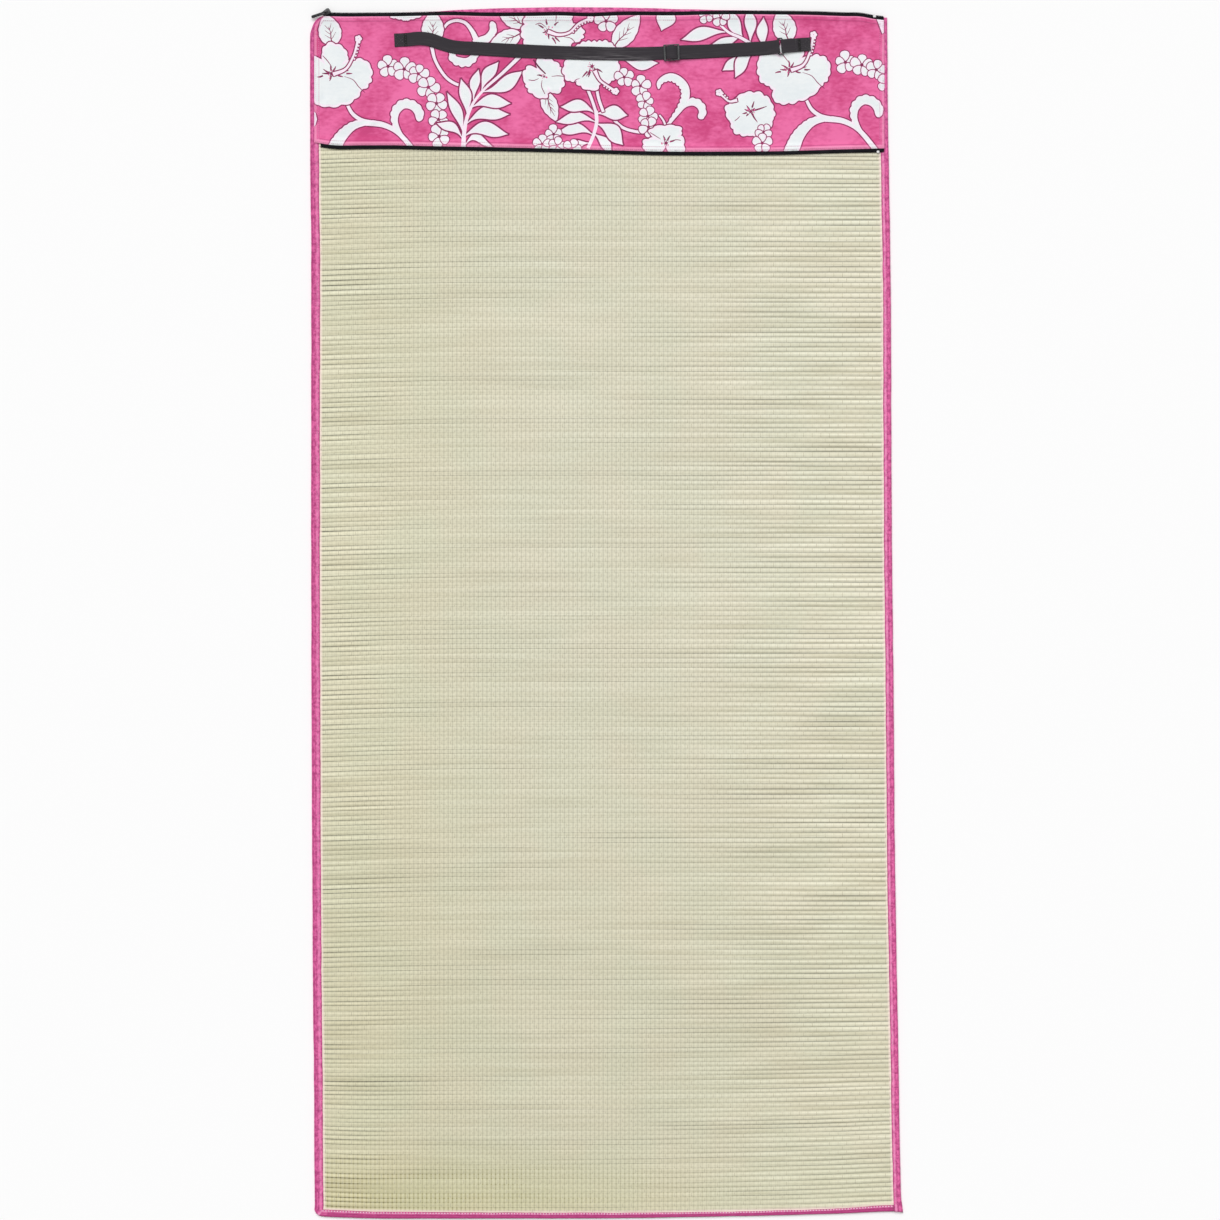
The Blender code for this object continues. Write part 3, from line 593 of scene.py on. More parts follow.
def closed_tube(name, rings, uv, flip=False):
    """A closed solid through rings of points, with flat ends; flip turns its faces the other way."""
    count, around = rings.shape[:2]
    ends = np.stack([np.arange(around)[::-1], np.arange((count - 1) * around, count * around)])
    faces = [*grid_faces(count, around, wrap=True, flip=flip), *(ends[:, ::-1] if flip else ends)]
    return mesh_piece(name, rings.reshape(-1, 3), faces, uv.reshape(-1, 2))


class Tape:
    """A folded tape: its fold and inner edge at each station, and the height of its upper side."""

    def __init__(self, name, folds, inners, rows, random, puff=0.28):
        self.name = name
        self.rows = rows
        folds, inners = np.asarray(folds, float), np.asarray(inners, float)
        self.along = lengths_along((folds + inners) / 2)
        inward = inners - folds
        self.wide = np.linalg.norm(inward, axis=1)
        self.inward = inward / self.wide[:, None]
        edge_swing = uneven(random, self.along, 30, 0.16)
        inner_swing = uneven(random, self.along, 22, 0.22) + uneven(random, self.along, 7, 0.1)
        self.fold = folds - self.inward * edge_swing[:, None]
        self.wide = self.wide + edge_swing + inner_swing
        self.lift = puff + uneven(random, self.along, 7, 0.16)
        self.rise = uneven(random, self.along, 40, 0.08)

    def top(self, share):
        """The upper side's height at a share of the width, for every station."""
        dips = sum(row.low * np.exp(-(((share - row.at) / STITCH_LOW_WIDE) ** 2)) for row in self.rows)
        edges = [0.0] + [row.at for row in self.rows] + [1.0]
        low = max(edge for edge in edges if edge <= share)
        high = min(edge for edge in edges if edge >= share)
        crown = math.sin(math.pi * (share - low) / (high - low)) if high > low else 0.0
        return TAPE_TOP + self.rise + self.lift * crown - dips

    def place(self, share, lift=0.0):
        """Points on the upper side at that share of the width."""
        at = self.fold + self.inward * (self.wide * share)[:, None]
        return np.column_stack([at, self.top(share) + lift])

    def mesh(self):
        """The closed U of the tape with its raw ends, and its uv: share across, and metres along."""
        loop = []

        def add(inset, height, share):
            at = self.fold + self.inward * np.broadcast_to(inset, self.wide.shape)[:, None]
            loop.append((np.column_stack([at, np.broadcast_to(height, self.wide.shape)]), share))

        for height, inset, share in FOLD_SECTION:
            add(inset, height + self.rise * (height / TAPE_TOP), share)
        for share in TOP_SHARES:
            loop.append((self.place(share), share))
        add(self.wide - 0.15, self.top(1.0), 0.985)
        add(self.wide, self.top(1.0) - RAW_EDGE, 1.0)
        add(self.wide, TAPE_UNDER, 1.0)
        add(LEG_INSET, TAPE_UNDER, 0.1)
        add(LEG_INSET, TAPE_LOWER_LEG, 0.1)
        add(self.wide, TAPE_LOWER_LEG, 1.0)
        add(self.wide, 0.15, 1.0)
        add(self.wide - 0.3, 0.0, 0.98)
        add(0.5, 0.0, -0.1)
        rings = np.stack([points for points, _ in loop], 1)
        uv = np.empty((*rings.shape[:2], 2))
        uv[..., 0] = [share for _, share in loop]
        uv[..., 1] = self.along[:, None] * MM
        return closed_tube(self.name + "_cloth", rings, uv, flip=self.turns_left())

    def turns_left(self):
        """Whether the straw lies to the left, looking along the tape."""
        ahead = self.fold[1] - self.fold[0]
        return ahead[0] * self.inward[0][1] - ahead[1] * self.inward[0][0] > 0


def spaced(first, last, spacing=STATION_SPACING):
    return np.linspace(first, last, max(2, math.ceil(abs(last - first) / spacing) + 1))


def edge_pairs(values, fold_at, inner_at):
    return [(fold_at(value), inner_at(value)) for value in values]


def fan(folds, corner, spacing=2.5, radius=1.0):
    """Fold and inner points round a corner, the inner ones on a small round about it."""
    corner = np.array(corner, float)
    pairs = []
    for fold in curve_through(folds, spacing):
        away = fold - corner
        pairs.append((tuple(fold), tuple(corner + away / np.linalg.norm(away) * radius)))
    return pairs


def left_foot_tape(random):
    """From the head down the left edge, round the foot's corner, and along the foot to the right tape."""
    head_corner = ((-418, 887.2), (-424, 885.6), (-430, 881.6), (-434.4, 875), (-437.2, 867))
    foot_corner = ((-432.6, -887), (-429.8, -892.4), (-424.5, -896), (-418, -897.2))
    end = right_edge(-886) - RIGHT_TAPE - BUTT_GAP
    pairs = [((x, head_edge(x)), (x, head_edge(x) - HEAD_TAPE)) for x in (-404, -408, -412)]
    pairs += fan(head_corner, HEAD_TURN)
    pairs += edge_pairs(
        spaced(861, -880),
        lambda y: (left_edge(y), y),
        lambda y: (left_edge(y) + LEFT_TAPE, y),
    )
    mitre = len(pairs)
    pairs += fan(foot_corner, FOOT_TURN, 1.6)
    mitre = (mitre + len(pairs)) // 2
    pairs += edge_pairs(
        spaced(-412, end),
        lambda x: (x, foot_edge(x)),
        lambda x: (x, foot_edge(x) + smooth(FOOT, x, "tape")),
    )
    folds, inners = zip(*pairs)
    tape = Tape("binding_left_foot", folds, inners, SIDE_ROWS, random)
    tape.rise[mitre - 1 : mitre + 2] += (0.25, 0.5, 0.2)
    tape.mitre = mitre
    return tape


def right_tape(random):
    """From the head to its raw cut end just past the foot, where it flares a little."""
    ys = spaced(884.6, -889.4)
    flare = 1.8 * eased((-866 - ys) / 24)
    slant = 1.2 * eased((-872 - ys) / 18)
    folds = np.column_stack([right_edge(ys) + flare, ys - slant])
    inners = np.column_stack([right_edge(ys) - RIGHT_TAPE, ys])
    return Tape("binding_right", folds, inners, (Row(0.50, 0.30), Row(0.88, 0.30)), random)


def head_tape(random):
    """Along the head edge between the two side tapes."""
    xs = spaced(-403.7, right_edge(876) - RIGHT_TAPE - BUTT_GAP)
    folds = np.column_stack([xs, head_edge(xs)])
    inners = np.column_stack([xs, head_edge(xs) - HEAD_TAPE])
    return Tape("binding_head", folds, inners, (Row(0.75, 0.30),), random)


TAPE_PINK = (0.83, 0.155, 0.405)
TAPE_DEEP = (0.38, 0.030, 0.16)
TAPE_HIGHLIGHT = (0.88, 0.32, 0.55)
TAPE_FOOT_SHADE = (0.42, 0.035, 0.175)
RIB_PITCH, YARN_PITCH = 0.0009, 1 / 16


def tape_material(name, shade_and_highlight_bands, foot_from=None):
    """Ribbed pink cotton, deeper along the foot, where the length from foot_from lies, as painted shade on
    its outer side away from the light; with painted shade in its small puckers and a painted highlight on the
    mitre's fold.

    Each band is a share across, a half width, and a painted shade or, below 0, a painted highlight.
    """
    made, shader = new_material(name, 0.72, Sheen_Weight=0.2, Specular_IOR_Level=0.3)
    across, along, _ = coordinates(shader, "UV").parts()
    swing = point_at(along * 150.0, across * 2.5).noise(1.0, 3.0, 0.7)
    colour = mixed(swing.stretched(0.38, 0.66, 0.0, 0.85), TAPE_PINK, TAPE_DEEP)
    # Painted shade in the tape's small puckers.
    pucker_painted_shade = point_at(along * 240.0, across * 0.6, 7.0).noise(1.0, 1.0)
    colour = mixed(pucker_painted_shade.stretched(0.62, 0.70, 0.0, 0.55), colour, TAPE_DEEP)
    # Painted shade in each band above 0, and a painted highlight in each band below 0.
    for at, half, painted_shade in shade_and_highlight_bands:
        inside = (across - at).calc("ABSOLUTE").stretched(half * 0.35, half, abs(painted_shade), 0.0)
        patchy = point_at(along * 140.0, 0.0, at * 40).noise(1.0, 1.0).stretched(0.3, 0.65, 0.45, 1.25)
        amount = inside.calc("MULTIPLY", patchy, clamp=True)
        colour = mixed(amount, colour, TAPE_DEEP if painted_shade > 0 else TAPE_HIGHLIGHT)
    # Painted shade on the foot's stretch, most on its outer side, which faces away from the light, and a
    # painted highlight along the mitre's fold.
    if foot_from:
        at_foot = along.stretched(foot_from * MM, foot_from * MM + 0.02)
        colour = mixed(at_foot * across.stretched(0.52, 0.76, 0.78, 0.2), colour, TAPE_FOOT_SHADE)
        from_mitre = (along - foot_from * MM).calc("ABSOLUTE")
        colour = mixed(from_mitre.stretched(0.0006, 0.0016, 0.75, 0.0), colour, TAPE_HIGHLIGHT)
    feed(shader.inputs["Base Color"], colour)
    bump(shader, ribs(along, RIB_PITCH) * 0.5 + ribs(across, YARN_PITCH) * 0.3, 0.00012, 0.6)
    return made


def stitch_tree():
    """A running stitch: a short raised thread at every step along each line of the seam."""
    tree, given = new_tree("running stitch", Step="Float", Length="Float", Width="Float", Height="Float")
    route = add_node(tree, "GeometryNodeMeshToCurve", {}, given["Geometry"])
    steps = add_node(tree, "GeometryNodeCurveToPoints", {"mode": "LENGTH"}, route[0], Length=given["Step"])
    bead = add_node(tree, "GeometryNodeMeshUVSphere", {}, 4, 5, 0.5)
    lying = add_node(tree, "GeometryNodeTransform", {}, bead[0], Rotation=(0, math.pi / 2, 0))
    aim = add_node(tree, "FunctionNodeAlignRotationToVector", {"axis": "X"}, Vector=steps["Tangent"])
    size = add_node(tree, "ShaderNodeCombineXYZ", {}, given["Length"], given["Width"], given["Height"])
    turned = {"Instance": lying[0], "Rotation": aim[0], "Scale": size[0]}
    placed = add_node(tree, "GeometryNodeInstanceOnPoints", {}, steps["Points"], **turned)
    return put_out(tree, placed[0], given["Material"])


def line_edges(count, first=0):
    """Edges along a line of points, numbered from first."""
    return [(k, k + 1) for k in range(first, first + count - 1)]


def sewn(name, seams, thread, step=3.4, long=2.7, wide=0.55, high=0.45):
    """One piece of stitches along several lines of points."""
    points, edges = [], []
    for seam in seams:
        edges += line_edges(len(seam), len(points))
        points += list(map(tuple, seam))
    line = points_piece(name, points, edges)
    sizes = {"Step": step * MM, "Length": long * MM, "Width": wide * MM, "Height": high * MM}
    return grown(line, running_stitch, Material=thread, **sizes)


def thread_material(name, colour, other):
    return mottled(name, 0.6, colour, other, (180.0, 1.0), grain=(4000.0, 1.0, 0.5), Sheen_Weight=0.3)


running_stitch = stitch_tree()
# One pink thread in two copies: painted shade for the side tapes' stitches, painted light for the foot's row.
pink_thread_painted_shade = thread_material("deep pink thread", (0.30, 0.022, 0.12), (0.50, 0.06, 0.24))
pale_thread = thread_material("pale pink thread", (0.90, 0.42, 0.66), (0.84, 0.32, 0.58))
pink_thread_painted_light = thread_material("pink white thread", (0.99, 0.74, 0.85), (0.94, 0.52, 0.72))
tape_random = np.random.default_rng(TAPE_SEED)
tapes = (left_foot_tape(tape_random), right_tape(tape_random), head_tape(tape_random))
# Painted shade along each tape's fold, in its stitch rows' grooves and along its inner edge, that edge partly
# its needle line; below 0, a painted highlight on the puffed cloth between the rows.
shade_and_highlight_bands = {
    "binding_left_foot": ((0.16, 0.16, 0.6), (0.42, 0.08, 0.35), (0.72, 0.17, -0.4), (1.0, 0.10, 0.8)),
    "binding_right": ((0.10, 0.12, 0.4), (0.46, 0.08, 0.30), (0.74, 0.18, -0.62), (1.0, 0.10, 0.8)),
    "binding_head": ((0.0, 0.10, 0.6), (0.75, 0.10, 0.3)),
}
for tape in tapes:
    cloth = tape.mesh()
    has_foot = tape.name == "binding_left_foot"
    mitre = tape.mitre if has_foot else len(tape.along) - 1
    foot_from = tape.along[mitre] if has_foot else None
    cloth.data.materials.append(tape_material(tape.name + " cotton", shade_and_highlight_bands[tape.name], foot_from))
    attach(cloth, "root")
    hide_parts(tape.name)
    seams = [tape.place(row.at, 0.05)[1:mitre] for row in tape.rows]
    stitches = [sewn(tape.name + "_stitches", seams, pink_thread_painted_shade, step=3.8, wide=0.75, high=0.5)]
    if has_foot:
        foot_seam = tape.place(FOOT_SHARE, 0.2)[mitre + 3 : -1]
        stitches.append(sewn("binding_foot_stitches", [foot_seam], pink_thread_painted_light, 4.3, 2.6, 1.9, 0.9))
    for seam in stitches:
        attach(seam, "root")

# ---- The two zip halves
# Black woven tape sewn under each long hem, with a nylon coil on its free edge; rolled up, the halves meet.
# Each coil is one wire wound round and round, and ends in a small pale stop at the right.
HEAD_ZIP = [Across(*row) for row in (
    (-424, 889.5), (-380, 888.8), (-358, 889.0), (-313, 889.2), (-223, 890.6), (-180, 889.4), (-112, 889.6),
    (-67, 890.3), (-23, 889.0), (22, 890.6), (110, 890.6), (155, 891.8), (270, 891.7), (312, 891.0),
    (356, 889.4), (378, 889.0), (400, 885.2), (414, 883.6),
)]
LOWER_ZIP = [Across(*row) for row in (
    (-425, 694.8), (-410, 692.4), (-358, 691.6), (-312, 691.6), (-268, 690.5), (-179, 688.9), (-90, 687.0),
    (0, 684.5), (66, 682.6), (178, 682.2), (267, 683.0), (334, 685.0), (414, 687.0),
)]
HEAD_ZIP_SHOWS, LOWER_ZIP_SHOWS = 6.2, 5.8
ZIP_UNDER_HEM = 6.0
ZIP_TAPE_LOW, ZIP_TAPE_THICK, ZIP_TAPE_EDGE = 3.9, 0.8, 0.4
COIL_HIGH = 4.7
COIL_PITCH = 1.5
COIL_STEPS = 8
COIL_HALF_WIDE, COIL_HALF_HIGH, COIL_WIRE, COIL_SIDES = 0.72, 0.62, 0.3, 4
COIL_INSET, TAPE_INSET = 0.8, 1.0
ZIP_BLACK = (0.006, 0.006, 0.008)


def zip_tape(name, line, shows, outward, first, last):
    """The woven tape from under the hem to the coil, a little rippled."""
    to_hem = -outward * (shows / 2 + ZIP_UNDER_HEM)
    to_coil = outward * (shows / 2 - TAPE_INSET)
    rows = np.linspace(*sorted((to_hem, to_coil)), 8)
    columns = spaced(first, last, 4)
    x = np.broadcast_to(columns, (len(rows), len(columns)))
    y = smooth(line, columns) + rows[:, None]
    ripple = 0.12 * np.sin(columns / 9.0) * np.sin(columns / 31.0)
    middle = ZIP_TAPE_LOW + ZIP_TAPE_THICK / 2 + ripple + np.zeros_like(x)
    half = np.full(len(rows), ZIP_TAPE_THICK / 2)
    half[[0, -1]] = ZIP_TAPE_EDGE / 2
    uv = np.stack([x * MM, y * MM], -1)
    top = np.stack([x, y, middle + half[:, None]], -1)
    low = np.stack([x, y, middle - half[:, None]], -1)
    return closed_sheet(name, top, low, uv)


def wire_tree():
    """A round wire along each line of points."""
    tree, given = new_tree("wire", Radius="Float", Sides="Int")
    route = add_node(tree, "GeometryNodeMeshToCurve", {}, given["Geometry"])
    size = {"Resolution": given["Sides"], "Radius": given["Radius"]}
    ring = add_node(tree, "GeometryNodeCurvePrimitiveCircle", {}, **size)
    swept = add_node(tree, "GeometryNodeCurveToMesh", {}, route[0], Profile_Curve=ring[0], Fill_Caps=True)
    return put_out(tree, swept[0], given["Material"])


def zip_coil(name, line, shows, outward, first, last):
    """The coil wound along the zip's free edge."""
    count = round((last - first) / COIL_PITCH) * COIL_STEPS
    x = np.linspace(first, last, count)
    turn = np.arange(count) * 2 * math.pi / COIL_STEPS
    y = smooth(line, x) + outward * (shows / 2 - COIL_INSET) + COIL_HALF_WIDE * np.cos(turn)
    z = COIL_HIGH + COIL_HALF_HIGH * np.sin(turn)
    wound = points_piece(name, np.column_stack([x, y, z]), line_edges(count))
    return grown(wound, wire, Radius=COIL_WIRE * MM, Sides=COIL_SIDES, Material=nylon)


def woven_black(name, colour, pitch):
    """Black woven tape: tiny ribs both ways, and faint dust."""
    made, shader = new_material(name, 0.8, Specular_IOR_Level=0.15)
    where = coordinates(shader)
    x, y, _ = where.parts()
    dusty = tuple(value * 2.2 for value in colour)
    feed(shader.inputs["Base Color"], mixed(where.noise(60.0, 3.0).stretched(0.45, 0.8), colour, dusty))
    bump(shader, ribs(x, pitch) + ribs(y, pitch), 0.0001, 0.6)
    return made


wire = wire_tree()
nylon = mottled(
    "black nylon coil", 0.5, ZIP_BLACK, (0.03, 0.03, 0.034), (45.0, 2.0), (0.5, 0.75), Specular_IOR_Level=0.25
)
zip_cotton = woven_black("black zip tape", ZIP_BLACK, 0.0008)
ZIPS = (
    ("head", HEAD_ZIP, HEAD_ZIP_SHOWS, 1, -416.0, 413.6),
    ("lower", LOWER_ZIP, LOWER_ZIP_SHOWS, -1, -424.0, 414.0),
)
for end, line, shows, outward, first, last in ZIPS:
    cloth = zip_tape(end + "_zip_tape", line, shows, outward, first + 1, last)
    cloth.data.materials.append(zip_cotton)
    coil = zip_coil(end + "_zip_coil", line, shows, outward, first, last - 1)
    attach(cloth, "root")
    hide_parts("zip_" + end + "_tape")
    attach(coil, "root")
    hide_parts("zip_" + end + "_coil")

# ---- The printed cover
# Plain-woven cotton with folded and stitched hems, lying over the head end between the two zip halves.
# White flowers, leaves and scrolls are screen-printed on pink, with a thin plum keyline round each.
COVER_LEFT, COVER_RIGHT = -432.6, 414.6
COVER_CORNER_INSET = 14.0
COVER_LOW, COVER_HEM_LOW = 3.3, 5.0
COVER_PLY, HEM_PLY, HEM_PUFF, HEM_GROOVE = 0.72, 0.33, 0.22, 0.34
PUCKER, FINE_PUCKER = 0.30, 0.28
PUCKER_WAVES, PUCKER_LENGTHS = 9, (22, 70)
OVER_TAPE, ON_HEAD_TAPE, SLOPE, SIDE_SLOPE = 0.75, 12, 6, 7
HEM_WIDE = 6.8
EDGE_SEAM = 2.4
KEYLINE, WHITE_INSET = 1.4, 0.4
PRINT_SEED, PUCKER_SEED = 5, 8
Crease = namedtuple("Crease", "x y turn_deg long wide high")
CREASES = [Crease(*row) for row in (
    (386, 851, -48, 62, 12, 2.2), (364, 866, -40, 40, 10, 1.6), (402, 836, -62, 36, 10, 1.4),
    (-392, 731, 50, 66, 13, 2.2), (-352, 724, 42, 50, 11, 1.6), (-415, 756, 62, 34, 11, 1.2),
    (-60, 777, 0, 190, 7, 0.8), (150, 778, 0, 130, 7, 0.85), (335, 777, 1, 130, 7, 0.9),
    (-240, 800, 8, 90, 12, 0.5), (330, 722, -2, 90, 8, 0.5), (-318, 769, 6, 80, 9, 0.5),
)]
PINK, WHITE, LINE, TINT, THROAT = range(5)
print_layers = []


def ink(colour, outline, grow=0.0):
    """One printed shape over all the earlier ones, its outline moved out by grow, or in where below 0."""
    outline = np.asarray(outline, float)
    after = np.roll(outline, -1, 0)
    if np.sum(outline[:, 0] * after[:, 1] - after[:, 0] * outline[:, 1]) < 0:
        outline = outline[::-1]
    if grow:
        along = np.roll(outline, -1, 0) - np.roll(outline, 1, 0)
        along /= np.linalg.norm(along, axis=1)[:, None] + 1e-9
        outline = outline + grow * np.column_stack([along[:, 1], -along[:, 0]])
    print_layers.append((colour, outline))


def softened(outline, passes=3):
    for _ in range(passes):
        outline = (np.roll(outline, 1, 0) + 2 * outline + np.roll(outline, -1, 0)) / 4
    return outline


def printed(*outlines, line=KEYLINE, tint=2.5):
    """Shapes that run together in white, with one keyline round them all, and a blue-grey tint inside."""
    outlines = [np.asarray(outline, float) for outline in outlines]
    for outline in outlines:
        ink(LINE, outline, line)
    for outline in outlines:
        ink(WHITE, outline, -WHITE_INSET if line else 0.0)
    if tint:
        for outline in outlines:
            ink(TINT, softened(outline), -tint)


def between(base, tip, along, aside):
    """Points at those distances along and to the left of the line from base to tip."""
    base, tip = np.array(base, float), np.array(tip, float)
    ahead = (tip - base) / np.linalg.norm(tip - base)
    left = np.array((-ahead[1], ahead[0]))
    return base + np.outer(along, ahead) + np.outer(aside, left)


def band(points, widths, ruffle=0.0, wave=8.4, tip=0.0):
    """The outline of a stroke along a smooth curve; ruffle scallops its left side, or its right below 0."""
    route = curve_through(points, 1.3 if ruffle else 2.6)
    share = np.linspace(0, 1, len(route))
    half = np.interp(share, np.linspace(0, 1, len(widths)), widths) / 2
    ahead = np.gradient(route, axis=0)
    ahead /= np.linalg.norm(ahead, axis=1)[:, None]
    left = np.column_stack([-ahead[:, 1], ahead[:, 0]])
    if tip:
        half = half * np.sqrt(1 - (1 - np.clip((1 - share) / tip, 0, 1)) ** 2 * 0.95)
    length = share * len(route) * 1.3
    scallop = abs(ruffle) * (np.abs(np.sin(math.pi * length / wave)) - 0.35) * np.sin(math.pi * share) ** 0.5
    on_left, on_right = (scallop, 0) if ruffle > 0 else (0, scallop)
    one = route + left * (half + on_left)[:, None]
    other = route - left * (half + on_right)[:, None]
    return np.concatenate([one, other[::-1]])


def direction(angle):
    return np.array((math.cos(angle), math.sin(angle)))


def disc(x, y, radius, steps=10):
    turn = np.linspace(0, 2 * math.pi, steps, endpoint=False)
    return np.column_stack([x + radius * np.cos(turn), y + radius * np.sin(turn)])


def petal_outline(base, tip, wide, random, ruffle=2.7):
    """A petal that widens to a ruffled outer edge."""
    reach = math.dist(base, tip)
    turn = np.linspace(0, 2 * math.pi, 110, endpoint=False)
    out = (1 - np.cos(turn)) / 2
    along = reach * out
    aside = wide / 2 * np.sin(turn) * out**0.30 * 1.12
    phase = random.uniform(0, 3.1)
    count = round((wide + reach) / 8.6) + random.integers(-1, 2)
    drift = 0.35 * np.sin(turn * 3 + phase)
    uneven_size = 0.45 + 0.9 * np.sin(turn * 1.5 + phase * 2) ** 2
    waves = np.abs(np.sin(turn * count / 2 + phase + drift)) - 0.6
    scallop = ruffle * uneven_size * waves + 1.3 * np.sin(turn * 3 + phase)
    outer = eased((out - 0.30) / 0.30)
    middle = 0.55 * reach
    radius = np.hypot(along - middle, aside) + 1e-6
    grow = 1 + scallop * outer / radius
    return between(base, tip, middle + (along - middle) * grow, aside * grow)


def hibiscus(centre, petals, stamen, random, ticks=(), seams=(), eye=3.4):
    """Ruffled petals as (tip x, tip y, width), throat ticks as (angle, from, to), and a long stamen."""
    centre = np.array(centre, float)
    outlines = []
    for x, y, wide in petals:
        tip = np.array((x, y), float)
        outlines.append(petal_outline(centre - (tip - centre) * 0.06, tip, wide, random))
    printed(*outlines, tint=3.4)
    for seam in seams:
        ink(LINE, band(seam, (0.6, 1.1, 1.3, 1.0)))
    for angle_deg, near, far in ticks:
        way = direction(math.radians(angle_deg))
        bend = np.array((-way[1], way[0])) * random.uniform(-0.8, 0.8)
        mark = [centre + way * near, centre + way * (near + far) / 2 + bend, centre + way * far]
        ink(THROAT, band(mark, (2.6, 2.4, 0.8)))
    for angle in random.uniform(0, 2 * math.pi, 7):
        x, y = centre + eye * random.uniform(1.3, 2.3) * direction(angle)
        ink(PINK, disc(x, y, random.uniform(0.7, 1.3), 6))
    ink(THROAT, [centre + eye * (1.5 if k % 2 else 0.6) * direction(k * math.pi / 7) for k in range(14)])
    if stamen:
        pistil(stamen)


def pistil(route, wide=4.6):
    """A white stamen with its anthers along one side of the outer half, and a knob of them at the tip."""
    dense = curve_through(route, 5.0)
    first = round(len(dense) * 0.5)
    parts = [band(route, (wide * 1.4, wide * 0.9, wide * 0.8, wide))]
    for k, (x, y) in enumerate(dense[first:-1]):
        ahead = dense[first + k + 1] - dense[first + k]
        side = np.array((ahead[1], -ahead[0])) / np.linalg.norm(ahead) * 3.0
        parts.append(disc(x + side[0], y + side[1], 1.8, 7))
    parts += [disc(*(dense[-1] + 2.9 * direction(angle)), 2.9) for angle in np.arange(0, 6.2, 1.26)]
    printed(*parts, line=1.4, tint=0)


def leaf(base, tip, wide, random, veins=3, rib=0.62, blunt=0.62):
    """A broad leaf with a wavy margin, its midrib and a few side veins."""
    reach = math.dist(base, tip)
    share = np.linspace(0, 1, 40)
    ragged = 0.9 * (np.abs(np.sin(share * 15 + random.uniform(0, 6))) - 0.5)
    half = wide / 2 * np.sin(math.pi * share**0.82) ** blunt + ragged * np.sin(math.pi * share)
    along = np.concatenate([share * reach, share[-2:0:-1] * reach])
    printed(between(base, tip, along, np.concatenate([half, -half[-2:0:-1]])), tint=2.6)
    midrib = between(base, tip, np.linspace(0.02, rib, 4) * reach, [0, 0.9, -0.8, 0.4])
    ink(LINE, band(midrib, (2.0, 1.7, 1.2, 0.6)))
    for k in range(veins):
        start = (0.22 + 0.15 * k) * reach
        for side in (-1, 1):
            out = side * wide * (0.25 - 0.05 * k)
            stretch = [start, start + 0.08 * reach, start + 0.18 * reach]
            ink(LINE, band(between(base, tip, stretch, [0, out * 0.5, out]), (1.1, 0.8, 0.4)))


def leaflet(base, tip, wide, bow=0.0):
    """A pointed leaflet on a narrow neck, its spine bowed to the left by that much."""
    reach = math.dist(base, tip)
    share = np.linspace(0, 1, 24)
    shape = 0.94 * np.sin(math.pi * share**1.22) ** 1.45
    spine = bow * np.sin(math.pi * share) + 0.30 * bow * np.sin(2 * math.pi * share)
    outer, inner = (0.58, 0.42) if bow >= 0 else (0.42, 0.58)
    upper = spine + wide * outer * shape + 1.0 * (1 - share)
    lower = spine - wide * inner * shape - 1.0 * (1 - share)
    along = np.concatenate([share, share[::-1]]) * reach
    return between(base, tip, along, np.concatenate([upper, lower[::-1]]))


def blossom(x, y, across, turn=0.0, petals=5):
    """A small flower of round petals about a dark eye."""
    for k in range(petals):
        angle = turn + k * 2 * math.pi / petals
        size = across * (1 + 0.09 * math.sin(3 * k + x))
        petal = np.linspace(0, 2 * math.pi, 14, endpoint=False)
        out = (0.285 - 0.235 * np.cos(petal)) * size
        aside = 0.222 * size * np.sin(petal) * (0.92 - 0.30 * np.cos(petal))
        printed(between((x, y), (x + math.cos(angle), y + math.sin(angle)), out, aside), line=1.0, tint=1.7)
    ink(THROAT, disc(x, y, 0.085 * across, 7))


def chain(points, across):
    for k, (x, y) in enumerate(points):
        blossom(x, y, across * (1 + 0.06 * math.sin(2.3 * k)), 0.4 + 1.1 * k)


print_random = np.random.default_rng(PRINT_SEED)
REPEAT_X, REPEAT_Y, REPEAT_LEAN, LEANS_FROM = 682.5, 6.0, 0.08, 775
CHAIN = ((-323, 812), (-299, 808), (-278, 801), (-263, 781), (-251, 757), (-248, 733), (-247, 708))
BIG_PETALS = ((-456, 805, 52), (-444, 779, 40), (-400, 847, 42), (-345, 799, 50), (-392, 753, 78))
BIG_TICKS = (
    (150, 3, 14), (95, 4, 14), (60, 4, 13), (178, 4, 14), (193, 13, 22), (255, 3, 11), (10, 14, 26),
    (1, 22, 31), (345, 10, 18),
)


